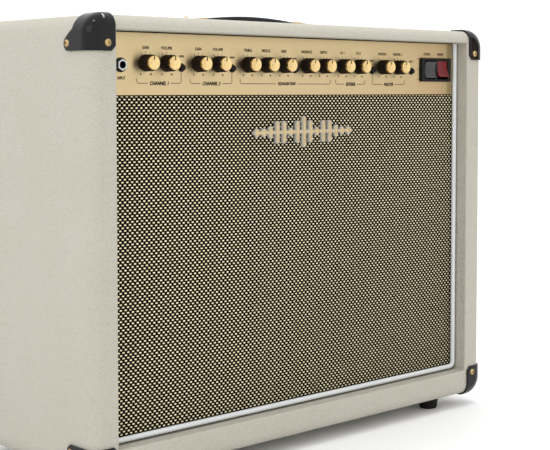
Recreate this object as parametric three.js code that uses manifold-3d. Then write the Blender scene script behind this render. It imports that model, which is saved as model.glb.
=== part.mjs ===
// Open-backed valve combo amplifier with one 12 inch loudspeaker.
// Millimetres. X runs to the right as seen from the front, Y from the front to the back, Z up.
// The origin is on the floor, under the middle of the cabinet.
import * as THREE from 'three';
import { mergeVertices } from 'three/addons/utils/BufferGeometryUtils.js';
import Module from 'manifold-3d';

const wasm = await Module();
wasm.setup();

// ---------------------------------------------------------------- driving sizes

const GAP = 0.3;                 // left between two pieces that touch

const WIDTH = 620;
const DEPTH = 252;
const FOOT_HEIGHT = 16;
const BODY_HEIGHT = 474;
const FRONT = -DEPTH / 2;
const BACK = DEPTH / 2;
const SIDE = WIDTH / 2;
const BASE = FOOT_HEIGHT;
const TOP = BASE + BODY_HEIGHT;

const CORNER_RADIUS = 22;        // cabinet corners, seen from the front
const EDGE_RADIUS = 13;          // roundover along the front and back edges
const BOARD = 18;                // side and bottom boards
const TOP_BOARD = 15.5;
const FACING = 32;               // width of the front face of a side wall and of the bottom
const FACING_DEPTH = 38;         // the thicker front strip that frames the baffle
const RECESS = 20;               // cloth behind the front face

const OPENING_SIDE = SIDE - FACING;
const OPENING_BOTTOM = BASE + FACING;
const CEILING = TOP - TOP_BOARD;
const CLOTH_FRONT = FRONT + RECESS;
const CLOTH = 2;
const BAFFLE_FRONT = CLOTH_FRONT + CLOTH + GAP;
const BAFFLE = 15;
const BAFFLE_BACK = BAFFLE_FRONT + BAFFLE;
const BAFFLE_TOP = 407.6;        // top of the cloth under the panel
const STRIP_INNER = 269.2;       // inner edge of the baffle strips beside the panel

const PANEL_SIDE = 268.5;
const PANEL_BOTTOM = 408.7;
const PANEL_TOP = 473.1;
const PANEL_FRONT = CLOTH_FRONT - 2;
const PANEL = 2;
const PANEL_BACK = PANEL_FRONT + PANEL;

const CHASSIS_SIDE = 268.5;
const CHASSIS_FRONT = PANEL_BACK + GAP;
const CHASSIS_BACK = 104;
const CHASSIS_BOTTOM = 409.2;
const CHASSIS_TOP = 472;
const SHEET = 2;                 // chassis sheet thickness
const WALL_BACK = CHASSIS_FRONT + SHEET;

const KNOB_LINE = 442;           // height of the knob spindles
const BUTTON_LINE = 437.7;
const SWITCH_LINE = 439.7;
const SHAFT_RADIUS = 3;
const SHAFT_END = PANEL_BACK + 8;
const BUTTON_RADIUS = 3.4;
const JACK = { x: -260.5, z: 439.6, washerRadius: 7.5, nutRadius: 6.2, threadRadius: 4.7, boreRadius: 3.3,
  body: 5.8, depth: 20 };

// The controls from left to right, in groups: the first spindle, then the rest at the pitch, then
// the group's push button, if it has one, a step to the right of the last spindle.
const KNOB_PITCH = 27.6;
const CONTROL_GROUPS = [
  { start: -228.3, knobs: ['channel1_gain', 'channel1_volume'], button: 'channel1_mode', step: 20 },
  { start: -157.5, knobs: ['channel2_gain', 'channel2_volume'], button: 'channel2_mode', step: 20.5 },
  { start: -86.3, knobs: ['treble', 'middle', 'bass'], button: 'tone_shift', step: 17.5 },
  { start: 5.2, knobs: ['presence', 'depth'] },
  { start: 64.6, knobs: ['reverb1', 'reverb2'], button: 'channel_select', step: 24.5 },
  { start: 135.5, knobs: ['master1', 'master2'], button: 'master_select', step: 25.5 },
];
const knobs = CONTROL_GROUPS.flatMap((group) => group.knobs.map(
  (name, index) => ({ name: `knob_${name}`, x: group.start + index * KNOB_PITCH })));
const buttons = CONTROL_GROUPS.filter((group) => group.button).map((group) => (
  { name: `button_${group.button}`, x: group.start + (group.knobs.length - 1) * KNOB_PITCH + group.step }));

const BEZEL = { x: 235, halfWidth: 28.2, halfHeight: 15, proud: 2.6, body: 26, bodyHeight: 13,
  depth: 10 };
const ROCKER = { pitch: 24, width: 19.6, halfHeight: 10.4, window: 20.4, windowHeight: 24,
  throw: THREE.MathUtils.degToRad(12), dip: 4.6, heel: { y: 4, z: 7 }, pivot: PANEL_FRONT + 2 };
const rockers = [
  { name: 'output_rocker', x: BEZEL.x - ROCKER.pitch / 2, tilt: 0, color: 'greyPlastic' },
  { name: 'power_rocker', x: BEZEL.x + ROCKER.pitch / 2, tilt: -ROCKER.throw, color: 'redPlastic' },
];

const SPEAKER_Z = 216;
const SPEAKER_HOLE = 141.5;      // radius of the hole in the baffle
const BASKET_FRONT = BAFFLE_BACK + GAP;

const CORNER = { width: 29.5, height: 37, chamfer: 5, reach: 30.5, waist: 15, thickness: 2,
  lobe: { depth: 36.5, drop: 29.5, radius: 7.5, shoulder: THREE.MathUtils.degToRad(45) } };
const FOOT = { x: 242, y: 32, topRadius: 13.5, bottomRadius: 11.5, screwRadius: 4, screwSeat: 8 };
const HANDLE = { y: -6, capInner: 70.5, capOuter: 107, capTop: TOP + 8.5, capShoulder: TOP + 6,
  capHalfDepth: 16, wall: 2, tongue: 2.4, tongueEnd: 96, crown: TOP + 12, sag: 4.7, grip: 6.4 };
const PIPING = { outer: 275.4, width: 5.8, bottom: 50, radius: 9, flat: 0.8 };
const BADGE = { z: 366, halfWidth: 79, bars: 15, barRadius: 2.6, tall: 18, short: 3.5, rail: 3,
  thickness: 4, beats: 4 };
const BACK_PANEL = { front: 101, back: 111, upperBottom: 282, lowerTop: 188 };
const VENT = { columns: 7, pitch: 72, length: 50, height: 7, rows: [316, 340, 364, 388] };
const INLET = { x: 200, z: 440, halfWidth: 15, halfHeight: 12, depth: 20, rim: 2.5 };
const VALVES = { x: -60, y: 60, pitch: 56 };
const CONTROL_BOARD = { span: [-243, 203], thickness: 1.6, potRadius: 8.5, potDepth: 10.4, switchHalf: 4,
  switchDepth: 2.4 };
const MAIN_BOARD = { left: -170, right: 150, halfDepth: 70, lift: 8, thickness: 1.6, post: 3, inset: 10 };
const HANDS = [['left', -1], ['right', 1]];

// ---------------------------------------------------------------- materials

const finish = (color, roughness, metalness = 0) =>
  new THREE.MeshStandardMaterial({ color, roughness, metalness });
const materials = {
  vinyl: finish(0xc9c6ba, 0.75),
  wood: finish(0x6b4a2c, 0.8),
  cloth: finish(0x2a2820, 0.9),
  piping: finish(0xc4c6c8, 0.5),
  badge: finish(0xeeeae0, 0.4),
  blackPlastic: finish(0x18181a, 0.3),
  rubber: finish(0x101010, 0.8),
  brass: finish(0xb08d4c, 0.35, 1),
  goldPanel: finish(0xc9a768, 0.35, 1),
  steel: finish(0x8d8f92, 0.4, 1),
  greyPlastic: finish(0x4a4a4c, 0.4),
  redPlastic: finish(0x8c1418, 0.2),
  circuitBoard: finish(0x1d5a34, 0.6),
  transformer: finish(0x202022, 0.5, 0.6),
  glass: finish(0xd8dde0, 0.05),
  paper: finish(0x17171a, 0.9),
};

// ---------------------------------------------------------------- solids

// Turns a closed geometry into a solid, with its faces pointing out.
function toSolid(geometry) {
  const bare = geometry.clone();
  bare.deleteAttribute('normal');
  bare.deleteAttribute('uv');
  const merged = mergeVertices(bare, 1e-4);
  const points = merged.getAttribute('position').array;
  const triangles = Uint32Array.from(merged.getIndex().array);
  if (signedVolume(points, triangles) < 0) {
    for (let first = 0; first < triangles.length; first += 3) {
      [triangles[first], triangles[first + 1]] = [triangles[first + 1], triangles[first]];
    }
  }
  return new wasm.Manifold(new wasm.Mesh({
    numProp: 3,
    vertProperties: Float32Array.from(points),
    triVerts: triangles,
  }));
}

function signedVolume(points, triangles) {
  const corner = (index) => new THREE.Vector3().fromArray(points, 3 * index);
  let volume = 0;
  for (let first = 0; first < triangles.length; first += 3) {
    const [a, b, c] = [0, 1, 2].map((step) => corner(triangles[first + step]));
    volume += a.dot(b.cross(c)) / 6;
  }
  return volume;
}

function toGeometry(solid) {
  const { numProp, vertProperties, triVerts } = solid.getMesh();
  if (numProp !== 3) {
    throw new Error('a solid should hold positions only');
  }
  const geometry = new THREE.BufferGeometry();
  geometry.setAttribute('position', new THREE.BufferAttribute(vertProperties, 3));
  geometry.setIndex(new THREE.BufferAttribute(triVerts, 1));
  return geometry;
}

const union = (solids) => solids.reduce((whole, solid) => whole.add(solid));
const cut = (solid, tools) => tools.reduce((rest, tool) => rest.subtract(tool), solid);

// A box between two X, two Y and two Z values, in any order.
function box([x0, x1], [y0, y1], [z0, z1]) {
  const geometry = new THREE.BoxGeometry(Math.abs(x1 - x0), Math.abs(y1 - y0), Math.abs(z1 - z0));
  geometry.translate((x0 + x1) / 2, (y0 + y1) / 2, (z0 + z1) / 2);
  return toSolid(geometry);
}

// A flat-sided piece between two X values, from its outline in the Y-Z plane.
function crossSlab(outline, [x0, x1]) {
  const geometry = new THREE.ExtrudeGeometry(outline, { depth: Math.abs(x1 - x0), bevelEnabled: false });
  const [alongY, alongZ, alongX] = [[0, 1, 0], [0, 0, 1], [1, 0, 0]].map((axis) => new THREE.Vector3(...axis));
  geometry.applyMatrix4(new THREE.Matrix4().makeBasis(alongY, alongZ, alongX));
  geometry.translate(Math.min(x0, x1), 0, 0);
  return toSolid(geometry);
}

// A round bar along Y.
function barY(x, z, radius, [y0, y1], segments = 12) {
  const geometry = new THREE.CylinderGeometry(radius, radius, y1 - y0, segments);
  geometry.translate(x, (y0 + y1) / 2, z);
  return toSolid(geometry);
}

// A round bar along X.
function barX(y, z, radius, [x0, x1], segments = 12) {
  const geometry = new THREE.CylinderGeometry(radius, radius, Math.abs(x1 - x0), segments);
  geometry.rotateZ(Math.PI / 2);
  geometry.translate((x0 + x1) / 2, y, z);
  return toSolid(geometry);
}

// An outline in the X-Z plane made into a slab from front to back, its rim rounded by bevel.
function slab(outline, [front, back], bevel = 0, curveSegments = 4) {
  const geometry = new THREE.ExtrudeGeometry(outline, {
    depth: back - front - 2 * bevel,
    curveSegments,
    bevelEnabled: bevel > 0,
    bevelSize: bevel,
    bevelThickness: bevel,
    bevelOffset: -bevel,
    bevelSegments: 3,
  });
  geometry.rotateX(Math.PI / 2);
  geometry.translate(0, back - bevel, 0);
  return toSolid(geometry);
}

// A [radius, y] outline turned about the Y axis.
function turned(profile, segments = 24) {
  const points = profile.map(([radius, y]) => new THREE.Vector2(radius, y));
  return toSolid(new THREE.LatheGeometry(points, segments));
}

// The same outline turned about the Z axis.
function turnedUpright(profile, segments = 24) {
  const points = profile.map(([radius, z]) => new THREE.Vector2(radius, z));
  return toSolid(new THREE.LatheGeometry(points, segments).rotateX(Math.PI / 2));
}

function roundedRectangle(halfWidth, bottom, top, radius, x = 0) {
  const shape = new THREE.Shape();
  const quarter = Math.PI / 2;
  const inset = halfWidth - radius;
  shape.absarc(x + inset, bottom + radius, radius, -quarter, 0);
  shape.absarc(x + inset, top - radius, radius, 0, quarter);
  shape.absarc(x - inset, top - radius, radius, quarter, 2 * quarter);
  shape.absarc(x - inset, bottom + radius, radius, 2 * quarter, 3 * quarter);
  shape.closePath();
  return shape;
}

function polygon(points) {
  return new THREE.Shape(points.map(([x, z]) => new THREE.Vector2(x, z)));
}

// ---------------------------------------------------------------- the assembly

const amplifier = new THREE.Group();
amplifier.name = 'valve_combo_amplifier';

function place(name, solid, material, position = [0, 0, 0], tilt = 0) {
  const mesh = new THREE.Mesh(toGeometry(solid), material);
  mesh.name = name;
  mesh.position.set(...position);
  mesh.rotation.set(tilt, 0, 0);
  amplifier.add(mesh);
}

// ---------------------------------------------------------------- cabinet

// The outside of the cabinet, grown by a margin all round.
function cabinetBlock(margin = 0) {
  const outline = roundedRectangle(SIDE + margin, BASE - margin, TOP + margin, CORNER_RADIUS + margin);
  return slab(outline, [FRONT - margin, BACK + margin], EDGE_RADIUS + margin);
}

// The ring of boards, cut into four. The side boards carry the rounded corners.
function addCabinet() {
  const allDepth = [FRONT - 1, BACK + 1];
  const mouth = box([-OPENING_SIDE, OPENING_SIDE], allDepth, [OPENING_BOTTOM, CEILING]);
  const bay = box([BOARD - SIDE, SIDE - BOARD], [FRONT + FACING_DEPTH, BACK + 1], [BASE + BOARD, CEILING]);
  const ring = cut(cabinetBlock(), [mouth, bay]);

  const joint = SIDE - CORNER_RADIUS;
  const between = [GAP / 2 - joint, joint - GAP / 2];
  place('cabinet_top', ring.intersect(box(between, allDepth, [CEILING, TOP + 1])), materials.vinyl);
  const bottom = box(between, allDepth, [BASE - 1, OPENING_BOTTOM]);
  place('cabinet_bottom', ring.intersect(bottom), materials.vinyl);
  for (const [name, hand] of HANDS) {
    const outer = box([hand * (joint + GAP / 2), hand * (SIDE + 1)], allDepth, [BASE - 1, TOP + 1]);
    const facing = box([hand * OPENING_SIDE, hand * SIDE], allDepth, [OPENING_BOTTOM + GAP, CEILING - GAP]);
    place(`cabinet_side_${name}`, ring.intersect(outer.add(facing)), materials.vinyl);
  }
}

// A moulded cap over one cabinet corner: a skin two millimetres thick round the cabinet, with a
// chamfered foot and a lobe for the side screw.
function cornerProtector(hand, end, level) {
  const edge = hand * SIDE;
  const face = end * BACK;
  const lip = level > 0 ? TOP : BASE;
  const inX = (distance) => edge - hand * distance;
  const inY = (distance) => face - end * distance;
  const inZ = (distance) => lip - level * distance;

  const { width, height, chamfer, reach, waist, lobe } = CORNER;
  const flange = polygon([[inX(-5), inZ(-5)], [inX(width), inZ(-5)], [inX(width), inZ(height - chamfer)],
    [inX(width - chamfer), inZ(height)], [inX(-5), inZ(height)]]);
  const depth = [inY(-5), inY(reach)].sort((a, b) => a - b);
  const shoulder = [inY(lobe.depth + lobe.radius * Math.cos(lobe.shoulder)),
    inZ(lobe.drop - lobe.radius * Math.sin(lobe.shoulder))];
  const web = polygon([[inY(EDGE_RADIUS), inZ(waist)], [inY(reach), inZ(waist)], shoulder,
    [inY(lobe.depth), inZ(height)], [inY(EDGE_RADIUS), inZ(height)]]);
  const sideSpan = [inX(-5), inX(width / 3)];
  const region = union([
    slab(flange, depth),
    crossSlab(web, sideSpan),
    barX(inY(lobe.depth), inZ(lobe.drop), lobe.radius, sideSpan),
  ]);
  return cabinetBlock(CORNER.thickness + GAP).subtract(cabinetBlock(GAP)).intersect(region);
}

function addCornerProtectors() {
  for (const [sideName, hand] of HANDS) {
    for (const [endName, end] of [['front', -1], ['rear', 1]]) {
      for (const [levelName, level] of [['top', 1], ['bottom', -1]]) {
        const solid = cornerProtector(hand, end, level);
        place(`corner_${levelName}_${endName}_${sideName}`, solid, materials.blackPlastic);
      }
    }
  }
}

// A rubber foot, wider where it meets the cabinet, hollowed for its screw.
function addFeet() {
  const { x, y, topRadius, bottomRadius, screwRadius, screwSeat } = FOOT;
  const height = FOOT_HEIGHT - GAP;
  const profile = [[0, screwSeat], [screwRadius, screwSeat], [screwRadius, 0], [bottomRadius - 1, 0],
    [bottomRadius, 1], [topRadius, height], [0, height]];
  const solid = turnedUpright(profile, 16);
  for (const [sideName, hand] of HANDS) {
    place(`foot_front_${sideName}`, solid, materials.rubber, [hand * x, FRONT + y, 0]);
    place(`foot_rear_${sideName}`, solid, materials.rubber, [hand * x, BACK - y, 0]);
  }
}

// ---------------------------------------------------------------- handle

function addHandle() {
  const { capInner, capOuter, capTop, capShoulder, capHalfDepth, wall, tongue, tongueEnd } = HANDLE;
  const { crown, sag, grip } = HANDLE;
  const floor = TOP + GAP;
  const centre = HANDLE.y;

  const under = floor + 0.5;
  const over = under + tongue;
  const root = capInner - GAP;
  const strap = new THREE.Shape();
  strap.moveTo(-tongueEnd, under);
  strap.lineTo(2 - root, under);
  strap.quadraticCurveTo(0, 2 * (crown - grip) - under, root - 2, under);
  strap.lineTo(tongueEnd, under);
  strap.lineTo(tongueEnd, over);
  strap.lineTo(root, over);
  strap.lineTo(root, crown - sag);
  strap.quadraticCurveTo(0, crown + sag, -root, crown - sag);
  strap.lineTo(-root, over);
  strap.lineTo(-tongueEnd, over);
  strap.closePath();
  const halfGrip = capHalfDepth - wall - 1;
  place('handle_strap', slab(strap, [centre - halfGrip, centre + halfGrip], 0, 8), materials.blackPlastic);

  for (const [name, hand] of HANDS) {
    const outline = polygon([[hand * capInner, floor], [hand * capOuter, floor],
      [hand * (capOuter - 0.5), floor + 3], [hand * (capOuter - 4), capShoulder], [hand * capInner, capTop]]);
    const cap = slab(outline, [centre - capHalfDepth, centre + capHalfDepth]);
    const channel = box([hand * (capInner - 1), hand * (tongueEnd + 3)],
      [centre - halfGrip - 1, centre + halfGrip + 1], [floor - 1, over + 1]);
    place(`handle_cap_${name}`, cap.subtract(channel), materials.brass);
  }
}

// ---------------------------------------------------------------- baffle, cloth and trim

// The baffle outline: full width at the bottom, two narrow strips beside the control panel.
function baffleOutline() {
  const side = OPENING_SIDE - GAP;
  const bottom = OPENING_BOTTOM + GAP;
  const top = CEILING - GAP;
  return polygon([[-side, bottom], [side, bottom], [side, top], [STRIP_INNER, top],
    [STRIP_INNER, BAFFLE_TOP], [-STRIP_INNER, BAFFLE_TOP], [-STRIP_INNER, top], [-side, top]]);
}

function addBaffle() {
  const board = slab(baffleOutline(), [BAFFLE_FRONT, BAFFLE_BACK]);
  const hole = barY(0, SPEAKER_Z, SPEAKER_HOLE, [BAFFLE_FRONT - 1, BAFFLE_BACK + 1], 48);
  place('baffle_board', board.subtract(hole), materials.wood);
  place('grille_cloth', slab(baffleOutline(), [CLOTH_FRONT, CLOTH_FRONT + CLOTH]), materials.cloth);
}

// A bead down one side of the cloth, along the bottom and up the other side.
function addPiping() {
  const { outer, width, bottom, radius, flat } = PIPING;
  const top = CEILING - 2 * GAP;
  const inner = outer - width;
  const quarter = Math.PI / 2;
  const bead = new THREE.Shape();
  bead.moveTo(outer, top);
  bead.absarc(outer - radius, bottom + radius, radius, 0, -quarter, true);
  bead.absarc(radius - outer, bottom + radius, radius, -quarter, -2 * quarter, true);
  bead.lineTo(-outer, top);
  bead.lineTo(-inner, top);
  bead.absarc(radius - outer, bottom + radius, radius - width, -2 * quarter, -quarter, false);
  bead.absarc(outer - radius, bottom + radius, radius - width, -quarter, 0, false);
  bead.lineTo(inner, top);
  bead.closePath();
  const back = CLOTH_FRONT - GAP;
  place('grille_piping', slab(bead, [back - width, back], (width - flat) / 2), materials.piping);
}

// A level-meter emblem: upright bars on one long rail.
function addBadge() {
  const { z, halfWidth, bars, barRadius, tall, short, rail, thickness } = BADGE;
  const span = [CLOTH_FRONT - GAP - thickness, CLOTH_FRONT - GAP];
  const solids = [box([-halfWidth, halfWidth], span, [z - rail / 2, z + rail / 2])];
  for (let index = 0; index < bars; index += 1) {
    const along = (index + 0.5) / bars;
    const beat = Math.abs(Math.cos(BADGE.beats * Math.PI * (along - 0.5)));
    const half = short + (tall - short) * beat * Math.sin(Math.PI * along);
    const x = halfWidth * (2 * along - 1);
    const bar = roundedRectangle(barRadius, z - half, z + half, 0.95 * barRadius, x);
    solids.push(slab(bar, span, 0, 1));
  }
  place('badge', union(solids), materials.badge);
}

// ---------------------------------------------------------------- control panel and chassis

// What the controls need cut through the panel and the chassis front.
function controlCutouts() {
  const through = [PANEL_FRONT - 1, WALL_BACK + 1];
  const { x, body, bodyHeight } = BEZEL;
  return [
    ...knobs.map((knob) => barY(knob.x, KNOB_LINE, SHAFT_RADIUS + 1, through, 10)),
    ...buttons.map((button) => barY(button.x, BUTTON_LINE, BUTTON_RADIUS + 0.5, through, 10)),
    barY(JACK.x, JACK.z, JACK.threadRadius + GAP, through),
    box([x - body - GAP, x + body + GAP], through,
      [SWITCH_LINE - bodyHeight - GAP, SWITCH_LINE + bodyHeight + GAP]),
  ];
}

function addPanelAndChassis() {
  const cutouts = controlCutouts();
  const plate = box([-PANEL_SIDE, PANEL_SIDE], [PANEL_FRONT, PANEL_BACK], [PANEL_BOTTOM, PANEL_TOP]);
  place('control_panel', cut(plate, cutouts), materials.goldPanel);

  const inner = CHASSIS_SIDE - SHEET;
  const floor = CHASSIS_BOTTOM + SHEET;
  const hollow = box([-inner, inner], [WALL_BACK, CHASSIS_BACK - SHEET], [floor, CHASSIS_TOP + 1]);
  const span = [CHASSIS_FRONT, CHASSIS_BACK];
  const tray = box([-CHASSIS_SIDE, CHASSIS_SIDE], span, [CHASSIS_BOTTOM, CHASSIS_TOP]).subtract(hollow);
  const { x, z, halfWidth, halfHeight, rim } = INLET;
  const inletHole = box([x - halfWidth + rim - GAP, x + halfWidth - rim + GAP],
    [CHASSIS_BACK - SHEET - 1, CHASSIS_BACK + 1], [z - halfHeight + rim - GAP, z + halfHeight - rim + GAP]);
  place('chassis', cut(tray, [...cutouts, inletHole]), materials.steel);
}

// A knob on its spindle: a wide body with a thick disc on its front.
function addKnobs() {
  const base = PANEL_FRONT - GAP;
  const shaftEnd = SHAFT_END - base;
  const profile = [[0, -15], [6.9, -15], [7.2, -14.7], [7.2, -11.4], [8.2, -11.4], [8.6, -11],
    [9, -1.2], [9, 0], [SHAFT_RADIUS, 0], [SHAFT_RADIUS, shaftEnd], [0, shaftEnd]];
  const solid = turned(profile, 14);
  for (const { name, x } of knobs) {
    place(name, solid, materials.brass, [x, base, KNOB_LINE]);
  }
}

function addButtons() {
  const profile = [[0, -4.6], [2.3, -4.4], [3.1, -3.7], [BUTTON_RADIUS, -2.8], [BUTTON_RADIUS, 9], [0, 9]];
  const solid = turned(profile, 10);
  for (const { name, x } of buttons) {
    place(name, solid, materials.blackPlastic, [x, PANEL_FRONT, BUTTON_LINE]);
  }
}

// The socket: washer and nut in front of the panel, a threaded neck through it and a square body.
function addInputJack() {
  const { x, z, washerRadius, nutRadius, threadRadius, boreRadius, body, depth } = JACK;
  const front = PANEL_FRONT - GAP;
  const shell = union([
    barY(x, z, washerRadius, [front - 1.6, front], 24),
    barY(x, z, nutRadius, [front - 3.8, front - 1], 6),
    barY(x, z, threadRadius, [front - 4.4, WALL_BACK + 1]),
    box([x - body, x + body], [WALL_BACK + GAP, WALL_BACK + depth], [z - body, z + body]),
  ]);
  const bore = barY(x, z, boreRadius, [front - 6, WALL_BACK + depth - 2]);
  place('input_jack', shell.subtract(bore), materials.blackPlastic);
}

// A frame with two windows, and the two rockers that tip inside them.
function addSwitches() {
  const { halfWidth, halfHeight, proud, body, bodyHeight, depth } = BEZEL;
  const front = PANEL_FRONT - GAP;
  const block = (x, acrossX, acrossZ, span) =>
    box([x - acrossX, x + acrossX], span, [SWITCH_LINE - acrossZ, SWITCH_LINE + acrossZ]);
  const rim = block(BEZEL.x, halfWidth, halfHeight, [front - proud, front]);
  const housing = block(BEZEL.x, body, bodyHeight, [front - 1, front + depth]);
  const windows = rockers.map(({ x }) =>
    block(x, ROCKER.window / 2, ROCKER.windowHeight / 2, [front - proud - 1, front + depth + 1]));
  place('switch_bezel', cut(rim.add(housing), windows), materials.blackPlastic);

  for (const { name, x, tilt, color } of rockers) {
    place(name, rockerSolid(), materials[color], [x, ROCKER.pivot, SWITCH_LINE], tilt);
  }
}

// A rocker about its pivot: both halves of its face slope out from a shallow middle. Its end is
// drawn as [height, distance in front of the pivot].
function rockerSolid() {
  const { width, halfHeight, dip, heel } = ROCKER;
  const tip = dip + halfHeight * Math.tan(ROCKER.throw);
  const end = polygon([[halfHeight, tip], [0, dip], [-halfHeight, tip], [-heel.z, -heel.y],
    [heel.z, -heel.y]]);
  const geometry = new THREE.ExtrudeGeometry(end, { depth: width, bevelEnabled: false });
  geometry.translate(0, 0, -width / 2);
  const [right, front, up] = [[1, 0, 0], [0, -1, 0], [0, 0, 1]].map((way) => new THREE.Vector3(...way));
  geometry.applyMatrix4(new THREE.Matrix4().makeBasis(up, front, right));
  return toSolid(geometry);
}

// ---------------------------------------------------------------- inside the chassis

// The upright board behind the chassis front, with a potentiometer for each knob and a switch
// block for each button.
function addControlBoard() {
  const { span, thickness, potRadius, potDepth, switchHalf, switchDepth } = CONTROL_BOARD;
  const face = WALL_BACK + GAP + potDepth;
  const board = box(span, [face, face + thickness], [CHASSIS_BOTTOM + 6, CHASSIS_TOP - 6]);
  const pots = knobs.map(({ x }) => barY(x, KNOB_LINE, potRadius, [WALL_BACK + GAP, face + 0.5], 10));
  const switches = buttons.map(({ x }) => box([x - switchHalf, x + switchHalf],
    [face - switchDepth, face + 0.5], [BUTTON_LINE - switchHalf, BUTTON_LINE + switchHalf]));
  const bores = knobs.map(({ x }) => barY(x, KNOB_LINE, SHAFT_RADIUS + 0.5, [WALL_BACK, SHAFT_END + 1], 8));
  place('control_circuit_board', cut(union([board, ...pots, ...switches]), bores), materials.circuitBoard);
}

// The flat board on four posts on the chassis floor.
function addMainBoard() {
  const { left, right, halfDepth, lift, thickness, post, inset } = MAIN_BOARD;
  const floor = CHASSIS_BOTTOM + SHEET + GAP;
  const solids = [box([left, right], [-halfDepth, halfDepth], [floor + lift, floor + lift + thickness])];
  for (const x of [left + inset, right - inset]) {
    for (const y of [inset - halfDepth, halfDepth - inset]) {
      solids.push(box([x - post, x + post], [y - post, y + post], [floor, floor + lift + thickness / 2]));
    }
  }
  place('main_circuit_board', union(solids), materials.circuitBoard);
}

// A transformer hung under the chassis: mounting flange, laminated core and winding cover.
function addTransformer(name, x, y, size) {
  const ceiling = CHASSIS_BOTTOM - GAP;
  const tier = (halfWidth, halfDepth, top, bottom) => box([x - halfWidth * size, x + halfWidth * size],
    [y - halfDepth * size, y + halfDepth * size], [ceiling - top * size, ceiling - bottom * size]);
  const solid = union([tier(50, 40, 0, 3), tier(46, 37, 2, 40), tier(34, 28, 38, 70)]);
  place(name, solid, materials.transformer);
}

// A power valve hung base up: a moulded base and a domed glass envelope.
function addPowerValves() {
  const profile = [[0, 0], [17, 0], [17, -14], [15.8, -16], [15.8, -74], [14.2, -84], [9.5, -91], [4, -94],
    [0, -95]];
  const solid = turnedUpright(profile, 14);
  for (const [name, hand] of HANDS) {
    place(`power_valve_${name}`, solid, materials.glass, [VALVES.x + hand * VALVES.pitch / 2, VALVES.y,
      CHASSIS_BOTTOM - GAP]);
  }
}

// ---------------------------------------------------------------- loudspeaker

// The loudspeaker's outlines are [radius, distance behind the baffle].
function addLoudspeaker() {
  const seat = [0, BASKET_FRONT, SPEAKER_Z];

  const basket = turned([[134.5, 0], [154.5, 0], [154.5, 4], [141, 6], [80, 75], [80, 78], [30, 78],
    [30, 75], [75.5, 75], [134.5, 7], [134.5, 0]], 30);
  const windows = Array.from({ length: 6 }, (unused, index) => {
    const geometry = new THREE.BoxGeometry(60, 46, 80);
    geometry.translate(0, 39, 125);
    geometry.rotateY((index * Math.PI) / 3);
    return toSolid(geometry);
  });
  place('speaker_basket', cut(basket, windows), materials.steel, seat);

  const magnet = turned([[0, 78.3], [23.5, 78.3], [23.5, 98], [27.5, 98], [27.5, 78.3], [60, 78.3],
    [60, 85], [75, 85], [75, 108], [60, 108], [60, 116], [0, 116]], 20);
  place('speaker_magnet', magnet, materials.transformer, seat);

  const cone = turned([[131, 3], [26.5, 52], [26.5, 88], [24.8, 88], [24.8, 51], [130.5, 1.4],
    [131, 1.4], [131, 3]], 24);
  place('speaker_cone', cone, materials.paper, seat);

  const cap = turned([[0, 30], [14, 31.5], [27, 36.5], [37, 44.4], [36, 45], [26, 37.7], [13.5, 32.8],
    [0, 31.3]], 16);
  place('speaker_dust_cap', cap, materials.paper, seat);
}

// ---------------------------------------------------------------- rear

function addBackPanels() {
  const { front, back, upperBottom, lowerTop } = BACK_PANEL;
  const side = SIDE - BOARD - GAP;
  const upper = box([-side, side], [front, back], [upperBottom, CHASSIS_BOTTOM - GAP]);
  const slots = VENT.rows.flatMap((z) => Array.from({ length: VENT.columns }, (unused, index) => {
    const x = (index - (VENT.columns - 1) / 2) * VENT.pitch;
    return box([x - VENT.length / 2, x + VENT.length / 2], [front - 1, back + 1], [z, z + VENT.height]);
  }));
  place('back_panel_upper', cut(upper, slots), materials.vinyl);
  const lower = box([-side, side], [front, back], [BASE + BOARD + GAP, lowerTop]);
  place('back_panel_lower', lower, materials.vinyl);
}

function addMainsInlet() {
  const { x, z, halfWidth, halfHeight, depth, rim } = INLET;
  const back = CHASSIS_BACK + GAP;
  const block = (margin, y0, y1) => box([x - halfWidth + margin, x + halfWidth - margin], [y0, y1],
    [z - halfHeight + margin, z + halfHeight - margin]);
  const solid = block(0, back, back + 2.2).add(block(rim, back - depth, back + 1));
  const socket = block(rim + 1.5, back - depth + 3, back + 3);
  place('mains_inlet', solid.subtract(socket), materials.blackPlastic);
}

addCabinet();
addCornerProtectors();
addFeet();
addHandle();
addBaffle();
addPiping();
addBadge();
addPanelAndChassis();
addKnobs();
addButtons();
addInputJack();
addSwitches();
addControlBoard();
addMainBoard();
addTransformer('power_transformer', 205, 40, 1);
addTransformer('output_transformer', -200, 40, 0.8);
addPowerValves();
addLoudspeaker();
addBackPanels();
addMainsInlet();

export default amplifier;
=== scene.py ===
"""The looks of an open-backed valve combo amplifier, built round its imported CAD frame.

Lengths are millimetres in the frame's own axes, X to the right, Y from front to back and Z up,
until Shape.build() makes a mesh in metres. The CAD nodes give every piece its place.
"""
import math
import random

import bmesh
import bpy
from mathutils import Matrix, Vector
from mathutils.geometry import delaunay_2d_cdt


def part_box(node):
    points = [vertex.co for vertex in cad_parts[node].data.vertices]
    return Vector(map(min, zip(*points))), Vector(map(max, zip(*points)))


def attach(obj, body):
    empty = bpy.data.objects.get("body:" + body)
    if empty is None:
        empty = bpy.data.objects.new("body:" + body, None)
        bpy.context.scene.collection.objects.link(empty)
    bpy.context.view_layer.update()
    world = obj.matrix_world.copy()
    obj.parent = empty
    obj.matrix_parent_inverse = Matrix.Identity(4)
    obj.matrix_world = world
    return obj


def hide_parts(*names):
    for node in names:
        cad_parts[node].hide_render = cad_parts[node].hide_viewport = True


MM = 0.001
HANDS = (("left", -1), ("right", 1))
ENDS = (("front", -1), ("rear", 1))
LEVELS = (("top", 1), ("bottom", -1))

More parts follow.
